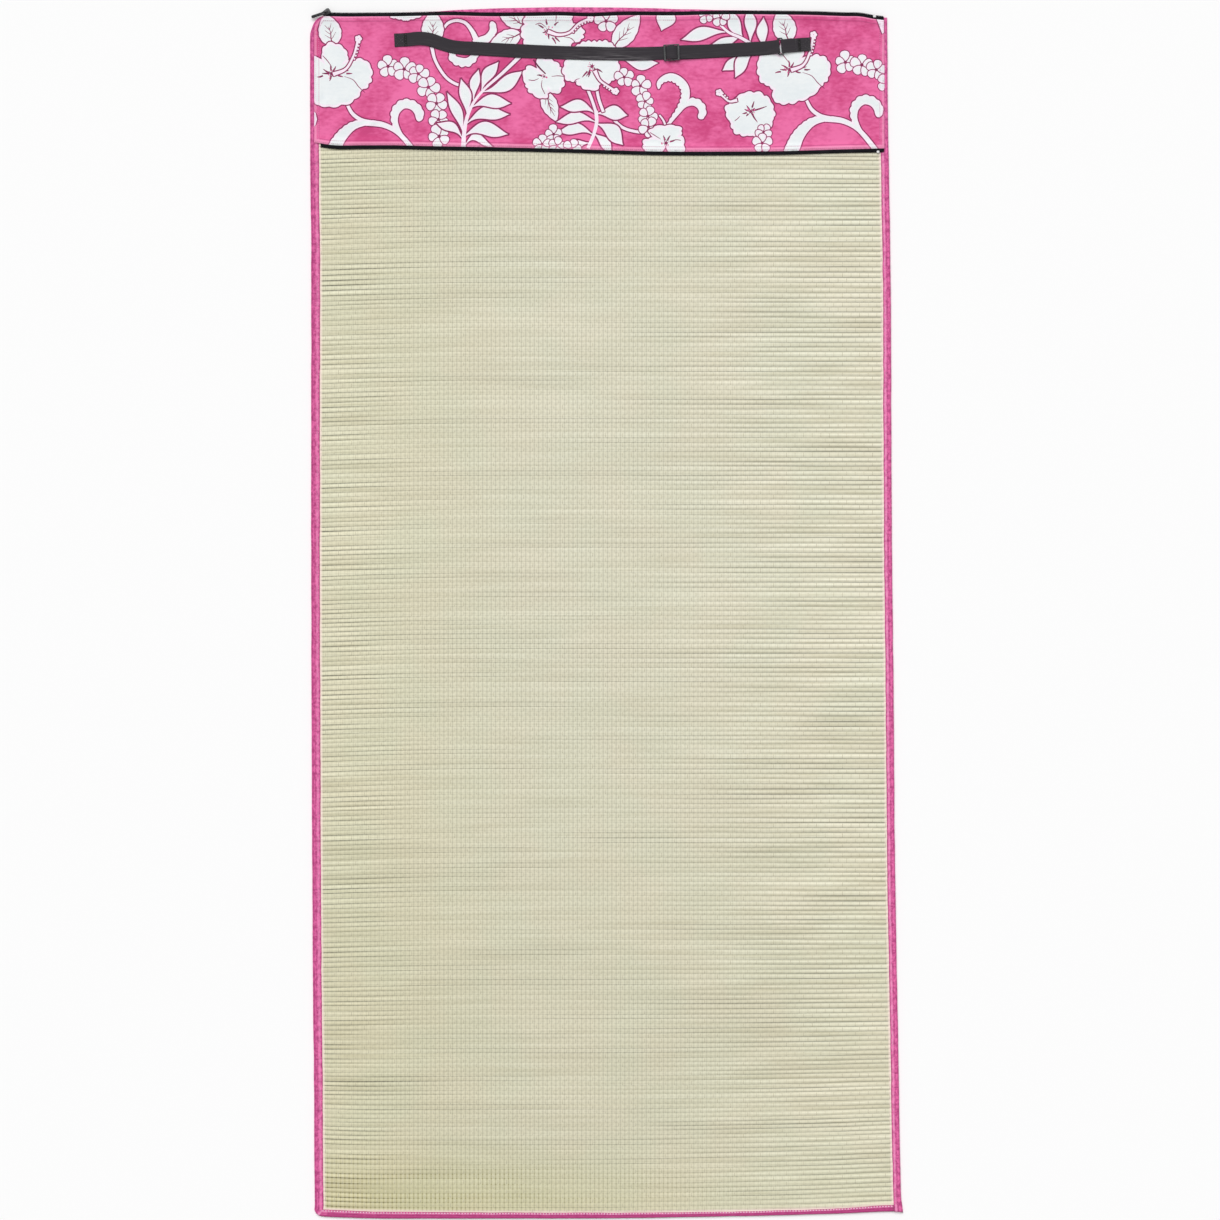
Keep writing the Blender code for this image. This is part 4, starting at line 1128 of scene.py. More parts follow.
def big_flower_group(x, y, lean=0.0):
    """The repeat's main group: the big hibiscus with its leaf, the branching scroll and the blossom chain."""

    def at(*points):
        return [(px + x - lean * max(0, py - LEANS_FROM), py + y) for px, py in points]

    chain(at(*CHAIN), 31.5)
    stalk = band(at((-384, 756), (-376, 742), (-364, 733), (-346, 728)), (5, 6, 6.5, 7))
    arm_line = at((-356, 728), (-330, 725), (-310, 715), (-297, 702), (-286, 688), (-277, 676))
    arm = band(arm_line, (9, 9, 8, 7.5, 8, 8))
    root_line = at((-340, 728), (-358, 728), (-374, 724), (-387, 714), (-397, 701), (-403, 688), (-408, 676))
    root = band(root_line, (7, 9, 12, 15, 18, 21, 22), -1.0)
    hook_line = at(
        (-301, 706), (-308, 717), (-313, 731), (-311, 746), (-299, 756), (-285, 753), (-277, 743), (-277, 730)
    )
    hook = band(hook_line, (6, 8, 10, 13, 14, 14, 14, 12), 2.0, tip=0.10)
    printed(stalk, arm, root, hook)
    leaf(*at((-404, 843), (-416, 888)), 34, print_random)
    petals = [(*at((px, py))[0], wide) for px, py, wide in BIG_PETALS]
    seams = [
        at((-388, 797), (-375, 792), (-366, 781), (-357, 773)),
        at((-406, 810), (-412, 819), (-420, 828)),
    ]
    stamen = at((-405, 800), (-386, 808), (-375, 826), (-367, 853))
    hibiscus(at((-407, 801))[0], petals, stamen, print_random, BIG_TICKS, seams)


def spray(blades):
    """Leaflets printed one over the next."""
    for blade in blades:
        printed(leaflet(*blade), line=1.9)


big_flower_group(0, 0)
printed(band([(-320, 888), (-296, 890), (-272, 888)], (8, 22, 6), -1.6, tip=0.1))
printed([(-434, 746), (-430, 742), (-428, 733), (-430, 726), (-434, 720)], tint=0)
arc_line = [(-242, 866), (-234, 876), (-221, 880), (-209, 877), (-199, 866), (-192, 852)]
curl_line = [(-196, 846), (-186, 850), (-174, 855), (-167, 866), (-169, 879)]
printed(band(arc_line, (4, 5, 5, 5.5, 7, 9)), band(curl_line, (10, 12, 12, 11, 9), -1.2, tip=0.12))
side_line = [(-258, 841), (-254, 824), (-246, 808), (-235, 794), (-220, 785), (-202, 783), (-184, 785)]
printed(band(side_line, (6, 5, 5, 5, 4.5, 4)))
bowl = [(-227, 838), (-226, 824), (-216, 819), (-204, 819), (-195, 827), (-192, 838)]
printed(band(bowl, (9, 11, 13, 13, 11, 9), -2.4))
leaf((-257, 846), (-256, 893), 33, print_random)
SPRAY = (
    ((-211, 711), (-236, 775), 16, -2.5), ((-205, 738), (-215, 795), 18, -1.5),
    ((-196, 762), (-188, 809), 15, 1.5), ((-213, 706), (-252, 728), 15, -5.0),
    ((-184, 776), (-158, 820), 18, 3.0), ((-182, 774), (-121, 806), 22, -4.0),
    ((-199, 751), (-139, 757), 21, 5.0), ((-206, 727), (-141, 741), 21, 7.5),
    ((-211, 707), (-143, 711), 22, 9.0), ((-211, 690), (-166, 692), 14, 14.0),
)
main_line = [(-211, 686), (-210, 712), (-205, 738), (-196, 758), (-180, 778), (-160, 796)]
main_stem = band(main_line, (7, 6, 5, 4, 3.5, 2))
spray(SPRAY[::-1])
printed(band([(-176, 782), (-152, 803), (-126, 828)], (4.5, 5.5, 6.5)))
printed(main_stem, line=0.0, tint=0)
leaf((-119, 873), (-158, 893), 26, print_random, veins=2)
leaf((-126, 861), (-172, 842), 27, print_random, veins=2)
TOP_PETALS = (
    (-112, 897, 44), (-62, 902, 50), (-124, 850, 46), (-30, 860, 30), (-56, 836, 44), (-98, 830, 48),
)
TOP_STAMEN = ((-86, 864), (-70, 859), (-54, 862), (-40, 875), (-22, 883))
TOP_TICKS = (
    (100, 9, 18), (150, 8, 18), (40, 12, 20), (275, 5, 13), (300, 12, 23), (316, 14, 24), (350, 20, 30),
    (200, 3, 9),
)
TOP_SEAMS = (
    ((-88, 870), (-98, 876), (-104, 874)), ((-74, 878), (-73, 886), (-74, 892)),
    ((-62, 856), (-50, 853), (-44, 846)),
)
hibiscus((-85, 865), TOP_PETALS, TOP_STAMEN, print_random, TOP_TICKS, TOP_SEAMS)
chain(((1, 879),), 33)
leaf((12, 840), (51, 888), 31, print_random, blunt=0.75)
printed(band([(-44, 838), (-32, 842), (-12, 843), (4, 843), (14, 838)], (8, 13, 12, 13, 6), 3.0))
leaf((-92, 776), (-72, 729), 24, print_random, veins=3, rib=0.8, blunt=0.9)
SMALL_PETALS = ((-124, 800, 28), (-82, 824, 38), (-61, 786, 42), (-106, 767, 38))
SMALL_SEAMS = (
    ((-94, 792), (-95, 783), (-90, 771)), ((-80, 797), (-70, 798), (-62, 797)),
    ((-99, 794), (-107, 791), (-114, 792)),
)
hibiscus((-91, 797), SMALL_PETALS, (), print_random, ((170, 3, 11),), SMALL_SEAMS, eye=2.0)
ink(THROAT, band([(-107, 822), (-99, 811), (-89, 801)], (2.6, 2.4, 2.0)))
stalks = (
    band([(-28, 782), (-20, 762), (-14, 744)], (5, 5)),
    band([(-14, 784), (-10, 764), (-3, 744)], (5, 5)),
    band([(-14, 746), (-13, 730), (-17, 712), (-26, 690)], (5.5, 5, 5)),
)
LOW_SPRAY = (
    ((-15, 742), (-68, 752), 19, -5.5), ((-14, 729), (-75, 729), 17, -6.0),
    ((-18, 710), (-72, 715), 17, -6.0), ((-13, 742), (34, 739), 22, 1.5),
    ((-14, 727), (27, 694), 24, 4.5), ((-17, 712), (10, 682), 16, 2.0), ((-24, 698), (-62, 684), 17, -3.0),
)
printed(band([(12, 733), (26, 721), (46, 715), (70, 714)], (4.5, 5, 5, 5)))
spray(LOW_SPRAY[::-1])
printed(*stalks[:2])
printed(stalks[2], line=0.0, tint=0)
MIDDLE_PETALS = ((-22, 838, 42), (-64, 806, 42), (21, 805, 42), (-28, 776, 38))
hibiscus(
    (-20, 812), MIDDLE_PETALS, ((-16, 806), (-8, 791), (3, 783), (15, 775)), print_random,
    ((240, 5, 17), (228, 10, 22), (252, 8, 17), (315, 4, 15), (330, 8, 18)),
    [((-12, 802), (-9, 793), (-2, 789)), ((-38, 794), (-44, 792), (-47, 788))],
)
chain(((-77, 711), (-94, 696), (-72, 694), (-50, 690)), 27)
chain(((28, 796), (52, 783), (59, 760), (63, 738), (64, 722)), 28)
printed(leaflet((28, 822), (80, 817), 17, -4.0))
loop_line = [
    (91, 722), (101, 736), (112, 751), (119, 767), (118, 780), (109, 791), (98, 796), (88, 794), (80, 787),
    (79, 778),
]
loop = band(loop_line, (4, 6, 8, 11, 13, 13, 13, 12, 9, 6), 2.0, tip=0.08)
side_loop_line = [(112, 748), (120, 756), (132, 759), (142, 752), (144, 742), (139, 734)]
side_loop = band(side_loop_line, (5, 9, 12, 12, 11, 11), 1.8, tip=0.12)
printed(loop, side_loop, band([(90, 722), (86, 732), (80, 740)], (4, 3)))
CUT_PETALS = ((56, 688, 32), (118, 690, 36), (90, 726, 52))
hibiscus(
    (90, 698), CUT_PETALS, (), print_random, ((110, 4, 12), (60, 4, 13), (20, 6, 16)),
    [((82, 704), (74, 709), (66, 714)), ((98, 701), (106, 703), (112, 702))],
)
printed(leaflet((94, 910), (83, 864), 30))
TOP_SPRAY = (
    ((180, 863), (111, 851), 20, -3.0), ((203, 858), (155, 843), 14, 1.0), ((206, 850), (185, 897), 20, 2.0),
    ((215, 848), (212, 900), 18, -1.0), ((236, 838), (235, 886), 17, 1.5), ((206, 836), (173, 805), 19, 3.5),
    ((224, 836), (192, 794), 20, -5.0),
)
side_stem = band([(170, 874), (184, 862), (200, 855), (222, 842)], (4, 5, 6))
spray(TOP_SPRAY)
printed(side_stem, line=0.6, tint=0)
chain(((150, 888), (171, 884)), 24)
big_flower_group(REPEAT_X, REPEAT_Y, REPEAT_LEAN)
RIGHT_PETALS = (
    (220, 775, 46), (251, 750, 44), (240, 715, 44), (200, 709, 42), (178, 741, 38), (190, 762, 28),
)
RIGHT_TICKS = (
    (18, 3, 25), (125, 3, 11), (72, 6, 16), (302, 3, 19), (195, 6, 13), (160, 3, 10), (225, 5, 10),
    (40, 3, 8),
)
hibiscus((216, 745), RIGHT_PETALS, (), print_random, RIGHT_TICKS, [((200, 738), (196, 734), (192, 731))])
pistil([(196, 762), (184, 760), (176, 766), (169, 773)], 4.0)
blossom(235, 715, 23, 0.9)
blossom(233, 698, 29, 0.3)
printed([(401, 886), (414, 886), (414, 862), (411, 860), (408, 868)])


def cover_left(y):
    """The cover's left hem: straight, and drawn in round the mat's rounded head corner."""
    return COVER_LEFT + COVER_CORNER_INSET * eased((y - HEAD_CORNER.start) / 30) ** 1.5


def cover_lower(x):
    return smooth(LOWER_ZIP, x) + LOWER_ZIP_SHOWS / 2


def cover_upper(x):
    return smooth(HEAD_ZIP, x) - HEAD_ZIP_SHOWS / 2


FLAT_WIDE, FLAT_DEEP = COVER_RIGHT - COVER_LEFT, cover_upper(0) - cover_lower(0)


def cover_place(column, row):
    """A point of the cover from its place in the flat: across from the left hem, up from the lower one."""
    left = cover_left(cover_lower(0) + row)
    x = left + (COVER_RIGHT - left) * column / FLAT_WIDE
    return x, cover_lower(x) + (cover_upper(x) - cover_lower(x)) * row / FLAT_DEEP


def crease_height(x, y):
    """How far the soft creases lift the cover."""
    lift = np.zeros_like(x)
    for crease in CREASES:
        turn = math.radians(crease.turn_deg)
        along = (x - crease.x) * math.cos(turn) + (y - crease.y) * math.sin(turn)
        across = (y - crease.y) * math.cos(turn) - (x - crease.x) * math.sin(turn)
        taper = 1 - eased(np.abs(along) / (crease.long / 2))
        lift = np.maximum(lift, crease.high * taper * np.exp(-((2 * across / crease.wide) ** 2)))
    return lift


def cover_under(x, y):
    """The cover's underside: on the straw, up over the side tapes and over the zip tapes under its hems."""
    to_hem = np.minimum(y - cover_lower(x), cover_upper(x) - y)
    over_zip = 1 - eased((to_hem - ZIP_UNDER_HEM - 1) / SLOPE)
    over_head_tape = 1 - eased((cover_upper(x) - y - ON_HEAD_TAPE) / SLOPE)
    to_side = np.minimum(x - left_edge(y) - LEFT_TAPE, right_edge(y) - RIGHT_TAPE - x)
    over_side_tape = 1 - eased((to_side - 2) / SIDE_SLOPE)
    on_tape = OVER_TAPE * np.maximum(over_side_tape, over_head_tape)
    on_zip = (COVER_HEM_LOW - COVER_LOW) * over_zip
    return COVER_LOW + np.maximum.reduce([on_tape, on_zip, crease_height(x, y)])


def puckers(x, y, seed):
    """Small soft unevenness, as a sum of slanted waves."""
    random = np.random.default_rng(seed)
    waves = np.zeros_like(x)
    for _ in range(PUCKER_WAVES):
        turn = random.uniform(0, math.pi)
        length, phase = random.uniform(*PUCKER_LENGTHS), random.uniform(0, 6.28)
        waves += np.sin((x * math.cos(turn) + y * math.sin(turn)) * 2 * math.pi / length + phase)
    return waves / PUCKER_WAVES


def wound_round(outline, points):
    """Which points the outline winds round counter-clockwise."""
    x, y = points.T
    turns = np.zeros(len(points), int)
    for (x0, y0), (x1, y1) in zip(outline, np.roll(outline, -1, 0)):
        side = (x1 - x0) * (y - y0) - (x - x0) * (y1 - y0)
        turns += (y0 <= y) & (y < y1) & (side > 0)
        turns -= (y1 <= y) & (y < y0) & (side < 0)
    return turns > 0


Shape = namedtuple("Shape", "points faces colours")
RIM_STEP, SIDE_RIM_STEP, FIELD_STEP, FIELD_ROW_STEP = 4.5, 4.0, 6.0, 5.5
NEAR_HEM = np.array((0.45, 1.3, 3.0, 4.8, 6.0, 6.8, 7.6, 9.2, 11.6, 15))
PAST_HEM = 20


def printed_shape():
    """The cover's outline cut up along every printed edge: flat points, triangles, and each one's colour."""
    outline = [(column, 0.0) for column in spaced(0, FLAT_WIDE, RIM_STEP)[:-1]]
    outline += [(FLAT_WIDE, row) for row in spaced(0, FLAT_DEEP, SIDE_RIM_STEP)[:-1]]
    outline += [(column, FLAT_DEEP) for column in spaced(FLAT_WIDE, 0, RIM_STEP)[:-1]]
    outline += [(0.0, row) for row in spaced(FLAT_DEEP, 0, SIDE_RIM_STEP)[:-1]]
    rim = np.array([cover_place(*at) for at in outline])
    columns, rows = (
        np.concatenate([NEAR_HEM, spaced(PAST_HEM, size - PAST_HEM, step), size - NEAR_HEM[::-1]])
        for size, step in ((FLAT_WIDE, FIELD_STEP), (FLAT_DEEP, FIELD_ROW_STEP))
    )
    inside = np.array([cover_place(column, row) for row in rows for column in columns])
    layers = [(PINK, rim), *print_layers]
    edges, count = [], 0
    for _, shape in layers:
        edges += [(count + k, count + (k + 1) % len(shape)) for k in range(len(shape))]
        count += len(shape)
    flat = [Vector(point) for point in np.concatenate([*(shape for _, shape in layers), inside])]
    points, _, triangles, _, _, _ = delaunay_2d_cdt(flat, edges, [], 0, 1e-4, True)
    points = np.array([tuple(point) for point in points])
    triangles = np.array(triangles)
    middles = points[triangles].mean(1)
    colours = np.full(len(triangles), -1)
    for colour, shape in layers:
        low, high = shape.min(0), shape.max(0)
        near = np.nonzero(np.all((middles >= low) & (middles <= high), axis=1))[0]
        colours[near[wound_round(shape, middles[near])]] = colour
    kept = wound_round(rim, middles)
    return Shape(points, [tuple(face) for face in triangles[kept]], colours[kept])


def used_points(shape):
    """The shape with the points that no triangle uses taken out."""
    used = np.unique(np.concatenate([np.array(face) for face in shape.faces]))
    renumber = np.full(len(shape.points), -1)
    renumber[used] = np.arange(len(used))
    return Shape(shape.points[used], [tuple(renumber[list(face)]) for face in shape.faces], shape.colours)


def rim_edges(faces):
    """The directed edges that only one face has."""
    seen = set()
    for face in faces:
        for here, there in zip(face, (*face[1:], face[0])):
            if (there, here) in seen:
                seen.remove((there, here))
            else:
                seen.add((here, there))
    return sorted(seen)


def to_hem(x, y):
    """How far a point is from the nearest hem's edge."""
    sides = np.minimum(x - cover_left(y), COVER_RIGHT - x)
    return np.clip(np.minimum(sides, np.minimum(y - cover_lower(x), cover_upper(x) - y)), 0, None)


def cover_top(x, y):
    """The cover's upper side: two plies thick in the hems, drawn down along their stitches."""
    inward = to_hem(x, y)
    hem = 1 - eased((inward - HEM_WIDE + 0.4) / 1.0)
    puff = HEM_PUFF * np.sin(math.pi * np.clip(inward / HEM_WIDE, 0, 1))
    groove = HEM_GROOVE * np.exp(-(((inward - HEM_WIDE) / 0.9) ** 2))
    soft = puckers(x, y, PUCKER_SEED)
    fine = puckers(x * 4.2, y * 4.2, PUCKER_SEED + 1) * (1 - eased((inward - 8) / 6))
    thick = COVER_PLY + hem * (HEM_PLY + puff) - groove + PUCKER * soft * (1 - 0.5 * hem) + FINE_PUCKER * fine
    edge = 1 - eased(inward / 0.8)
    return cover_under(x, y) + thick * (1 - 0.55 * edge)


def hem_painted_highlight(x, y):
    """How much painted highlight lies on the hems' puffed folds: widest along the lower one, narrow along the
    upper.
    """
    sides = np.minimum(x - cover_left(y), COVER_RIGHT - x)
    lower = 0.66 * (1 - eased((y - cover_lower(x) - 4.4) / 2))
    upper = 0.62 * (1 - eased((cover_upper(x) - y - 1.0) / 1.8))
    return np.maximum.reduce([lower, upper, 0.5 * (1 - eased((sides - 2.6) / 2))])


def printed_cover():
    """The closed cloth: its uv in millimetres, and its printed colours as material numbers."""
    shape = used_points(printed_shape())
    x, y = shape.points.T
    top = cover_top(x, y)
    edge = 1 - eased(to_hem(x, y) / 0.8)
    under = cover_under(x, y) + 0.25 * edge
    count = len(x)
    points = np.concatenate([np.column_stack([x, y, top]), np.column_stack([x, y, under])])
    faces = [tuple(face) for face in shape.faces]
    walls = [(b, a, a + count, b + count) for a, b in rim_edges(faces)]
    reverse = [tuple(point + count for point in face[::-1]) for face in faces]
    uv = np.concatenate([shape.points] * 2)
    piece = mesh_piece("printed_cover", points, [*faces, *reverse, *walls], uv)
    colours = [*shape.colours, *shape.colours, *([PINK] * len(walls))]
    piece.data.polygons.foreach_set("material_index", np.array(colours, np.int32))
    carry(piece, "to_hem", np.tile(to_hem(x, y), 2))
    carry(piece, "paler", np.tile(hem_painted_highlight(x, y), 2))
    return piece


SEAM_SHADE = (0.48, 0.045, 0.18)
HEM_HIGHLIGHT_PINK, HEM_HIGHLIGHT_WHITE, HEM_HIGHLIGHT_GREY = (0.97, 0.36, 0.58), (0.96, 0.84, 0.92), (0.92, 0.92, 0.93)
YARN = 0.62


def printed_cotton(name, colour, other, spread=12.0, pale=HEM_HIGHLIGHT_PINK, hem_highlight_and_shade_share=1.0):
    """Plain-woven cotton in one printed colour, mottled a little, paler in the hems as a painted highlight on
    their puffed folds, with painted shade along the hem stitches.
    """
    made, shader = new_material(name, 0.8, Sheen_Weight=0.2, Specular_IOR_Level=0.25)
    where = coordinates(shader)
    x, y, _ = where.parts()
    mottle = where.noise(spread, 4.0, 0.65) * 0.72 + point_at(x * 110.0, y * 220.0).noise() * 0.28
    base = mixed(mottle.stretched(0.38, 0.64), colour, other)
    # Painted highlight on the hems' puffed folds.
    base = mixed(carried(shader, "paler") * hem_highlight_and_shade_share, base, pale)
    beside_seam = (carried(shader, "to_hem") - (HEM_WIDE + 0.3)).calc("ABSOLUTE")
    base = mixed(beside_seam.stretched(0.3, 1.2, 0.4 * hem_highlight_and_shade_share, 0.0), base, SEAM_SHADE)
    feed(shader.inputs["Base Color"], base)
    u, v, _ = coordinates(shader, "UV").parts()
    slubs = point_at(u * 0.05, v * 1.1).noise()
    bump(shader, ribs(u, YARN) * ribs(v, YARN) + slubs * 1.6, 0.0001, 0.5)
    return made


cover = printed_cover()
for cotton in (
    printed_cotton("pink print", (0.86, 0.165, 0.395), (0.62, 0.062, 0.215)),
    printed_cotton("white print", (0.96, 0.83, 0.93), (0.94, 0.80, 0.91), 30.0, HEM_HIGHLIGHT_WHITE, 0.4),
    printed_cotton("plum keyline", (0.30, 0.028, 0.115), (0.24, 0.02, 0.09), hem_highlight_and_shade_share=0.5),
    printed_cotton("blue-grey tint", (0.87, 0.90, 0.905), (0.80, 0.845, 0.865), 14.0, HEM_HIGHLIGHT_GREY, 0.4),
    printed_cotton("throat pink", (0.32, 0.03, 0.12), (0.13, 0.02, 0.06)),
):
    cover.data.materials.append(cotton)


def along_hems(inset, lift=0.05):
    """Seam lines at that distance inside each hem, as points on the cloth: lower, right, upper and left."""
    across, up = spaced(inset, FLAT_WIDE - inset, 3.0), spaced(inset, FLAT_DEEP - inset, 3.0)
    flats = (
        [(column, inset) for column in across],
        [(FLAT_WIDE - inset, row) for row in up],
        [(column, FLAT_DEEP - inset) for column in across],
        [(inset, row) for row in up],
    )
    seams = []
    for flat in flats:
        x, y = np.array([cover_place(*at) for at in flat]).T
        seams.append(np.column_stack([x, y, cover_top(x, y) + lift]))
    return seams


hem_seams, edge_seams = along_hems(HEM_WIDE), along_hems(EDGE_SEAM)
plum_thread = thread_material("plum thread", (0.36, 0.03, 0.14), (0.56, 0.08, 0.25))
long_hems, side_hems = [*hem_seams[0::2], *edge_seams[0::2]], []
for seam, edge_seam in zip(hem_seams[1::2], edge_seams[1::2]):
    side_hems += [seam, edge_seam]
hem_stitches = sewn("hem_stitches", long_hems, plum_thread, 3.0, 2.3, 0.5)
side_stitches = sewn("side_hem_stitches", side_hems, pale_thread, 3.0, 2.3, 0.6)
for piece in (cover, hem_stitches, side_stitches):
    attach(piece, "root")
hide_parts("head_panel")

# ---- The carrying strap
# Black 20 mm webbing sewn down at its left end, run through a slide adjuster, round a wire ring and back.
# A short tab, folded round the ring's other bar, is sewn to the cover at the right.
STRAP_LINE = [Across(*row) for row in (
    (-313.5, 850.6), (-293, 851.6), (-276, 853.1), (-260, 851.3), (-246, 846.6), (-232, 842.2), (-215, 839.4),
    (-198, 838.6), (-127, 834.7), (-32, 831.4), (63, 830.7), (99, 832.3), (146, 834.0), (194, 836.5),
    (241, 839.4), (265, 841.7), (306.5, 845.0),
)]
STRAP_WIDE, STRAP_THICK = 20.0, 1.0
ONE_PLY = 5.1
PLY = 1.3
TWO_PLIES, THREE_PLIES = ONE_PLY + PLY, ONE_PLY + 2 * PLY
RING_BARS_APART = 6.6
WIRE_RADIUS = 1.0
TURN_RADIUS = WIRE_RADIUS + 0.35 + STRAP_THICK / 2
RING_HIGH = ONE_PLY + TURN_RADIUS
OVER_RING = RING_HIGH + TURN_RADIUS
ADJUSTER_X, RING_X, TAB_END_X = 98.2, 256.6, 304.6
RETURN_SHIFT = -0.5
STRAP_SEED = 33
SEWN_END = ((0, ONE_PLY), (20, ONE_PLY), (23, 6.0), (27, 6.6), (36, 6.8), (47, 6.4), (60, 5.5), (72, ONE_PLY))
OVER_ADJUSTER = (
    (-16, ONE_PLY), (-9.6, 5.15), (-8, 5.5), (-6.5, 6.7), (-5.2, 8.2), (-4.0, 9.8), (-2.7, 11.0),
    (-1.0, 11.5), (1.2, 11.5), (3.0, 11.05), (4.8, 10.1), (6.6, 8.95), (8.3, 7.85), (10, THREE_PLIES),
    (28, THREE_PLIES), (34, 6.9), (40, TWO_PLIES),
)
TO_RING = ((-16, TWO_PLIES), (-9, 7.1), (-4, 8.3), (-1.5, OVER_RING), (0, OVER_RING))
ROUND_MIDDLE_BAR = (
    (16, ONE_PLY), (8, ONE_PLY), (5.2, 5.4), (3.0, 6.0), (1.0, 6.4), (-1.4, 6.42), (-2.03, 6.7), (-2.3, 7.32),
    (-2.5, 8.9), (-2.24, 9.55), (-1.6, 9.85), (1.4, 10.2), (2.15, 9.95), (3.8, 8.75), (6.0, 7.3), (8.5, 6.45),
    (12, TWO_PLIES), (28, TWO_PLIES),
)
UPPER_SECTION = (
    (-1.0, 0.0), (-0.985, 0.7), (-0.92, 1.0), (-0.5, 1.0), (0.0, 1.0), (0.5, 1.0), (0.92, 1.0), (0.985, 0.7),
)
LIES_FLAT_BELOW = 5.6


class StrapLine:
    """The strap's middle line seen from above: places by their distance from its sewn left end."""

    def __init__(self):
        self.x = np.linspace(STRAP_LINE[0].x, TAB_END_X + 2, 1600)
        self.y = smooth(STRAP_LINE, self.x)
        self.along = lengths_along(np.column_stack([self.x, self.y]))
        self.slope = np.gradient(self.y, self.x)

    def distance(self, x):
        return float(np.interp(x, self.x, self.along))

    def heading(self, along):
        return np.arctan(np.interp(along, self.along, self.slope))

    def place(self, along, aside, z):
        turn = self.heading(along)
        x = np.interp(along, self.along, self.x) - aside * np.sin(turn)
        y = np.interp(along, self.along, self.y) + aside * np.cos(turn)
        return np.stack(np.broadcast_arrays(x, y, z), -1)


def eased_path(path, spacing=0.9):
    """The path's corners a little rounded, at even small steps."""
    points = np.array(path, float)
    dense = [points[:1]]
    for here, there in zip(points, points[1:]):
        count = max(1, math.ceil(np.linalg.norm(there[:2] - here[:2]) / spacing))
        dense.append(here + (there - here) * (np.arange(1, count + 1) / count)[:, None])
    dense = np.concatenate(dense)
    for _ in range(3):
        dense[1:-1] = (dense[:-2] + 2 * dense[1:-1] + dense[2:]) / 4
    return dense


def webbing(name, line, path, random, slack=0.14):
    """Webbing along a path of (distance, height, sideways shift), with soft edges and a slight waviness."""
    points = eased_path(path)
    tangent = np.gradient(points[:, :2], axis=0)
    tangent /= np.linalg.norm(tangent, axis=1)[:, None]
    length = lengths_along(points[:, :2])
    half_wide = STRAP_WIDE / 2 + uneven(random, length, 26, 0.12)
    section = [*UPPER_SECTION, *((-across, -face) for across, face in UPPER_SECTION)]
    sway = uneven(random, length, 34, slack) * (points[:, 1] < LIES_FLAT_BELOW)
    rings = np.empty((len(points), len(section), 3))
    uv = np.empty((len(points), len(section), 2))
    for k, (across, face) in enumerate(section):
        out = STRAP_THICK / 2 * face
        rings[:, k] = line.place(
            points[:, 0] - tangent[:, 1] * out,
            points[:, 2] + across * half_wide,
            points[:, 1] + tangent[:, 0] * out + np.clip(across * sway, 0, None),
        )
        uv[:, k, 0] = across
        uv[:, k, 1] = length * MM
    return closed_tube(name, rings, uv, flip=True)


def turn_round(at, outward):
    """A half turn round a ring bar, from above it to below it."""
    turn = []
    for degrees in range(75, -90, -15):
        out, up = TURN_RADIUS * direction(math.radians(degrees))
        turn.append((at + outward * out, RING_HIGH + up, 0))
    return turn


def stretch_of(start, points, aside=0, way=1):
    """Part of a path: distances past start, or before it where way is -1, heights, and a shift aside."""
    return [(start + way * along, z, aside) for along, z in points]


def strap_path(line):
    """From the sewn left end through the adjuster to the ring, round it, back and round the middle bar."""
    adjuster, ring = line.distance(ADJUSTER_X), line.distance(RING_X)
    path = stretch_of(0, SEWN_END) + stretch_of(adjuster, OVER_ADJUSTER) + stretch_of(ring, TO_RING)
    path += turn_round(ring, 1)
    path += [(ring, ONE_PLY, 0), (ring - 12, ONE_PLY, RETURN_SHIFT)]
    return path + stretch_of(adjuster, ROUND_MIDDLE_BAR, RETURN_SHIFT)


def tab_path(line):
    """The tab folded round the ring's other bar, both its ends sewn down together."""
    bar = line.distance(RING_X) + RING_BARS_APART
    end = line.distance(TAB_END_X)
    path = [(end, TWO_PLIES, 0), *stretch_of(bar, TO_RING, way=-1), *turn_round(bar, -1)]
    return path + [(bar, ONE_PLY, 0), (end, ONE_PLY, 0)]


STRAP_BLACK, STRAP_WEAR_AND_SHEEN = (0.029, 0.024, 0.030), (0.17, 0.155, 0.165)
STRAP_FOLD_SHADOW = (0.004, 0.003, 0.004)
FOLD_SHADOW_FROM_END = 16.5
STRAP_SEWN_LONG, TAB_SEWN_LONG = 19, 24
WEBBING_RIB, WEBBING_ROW = 0.0011, 1 / 8


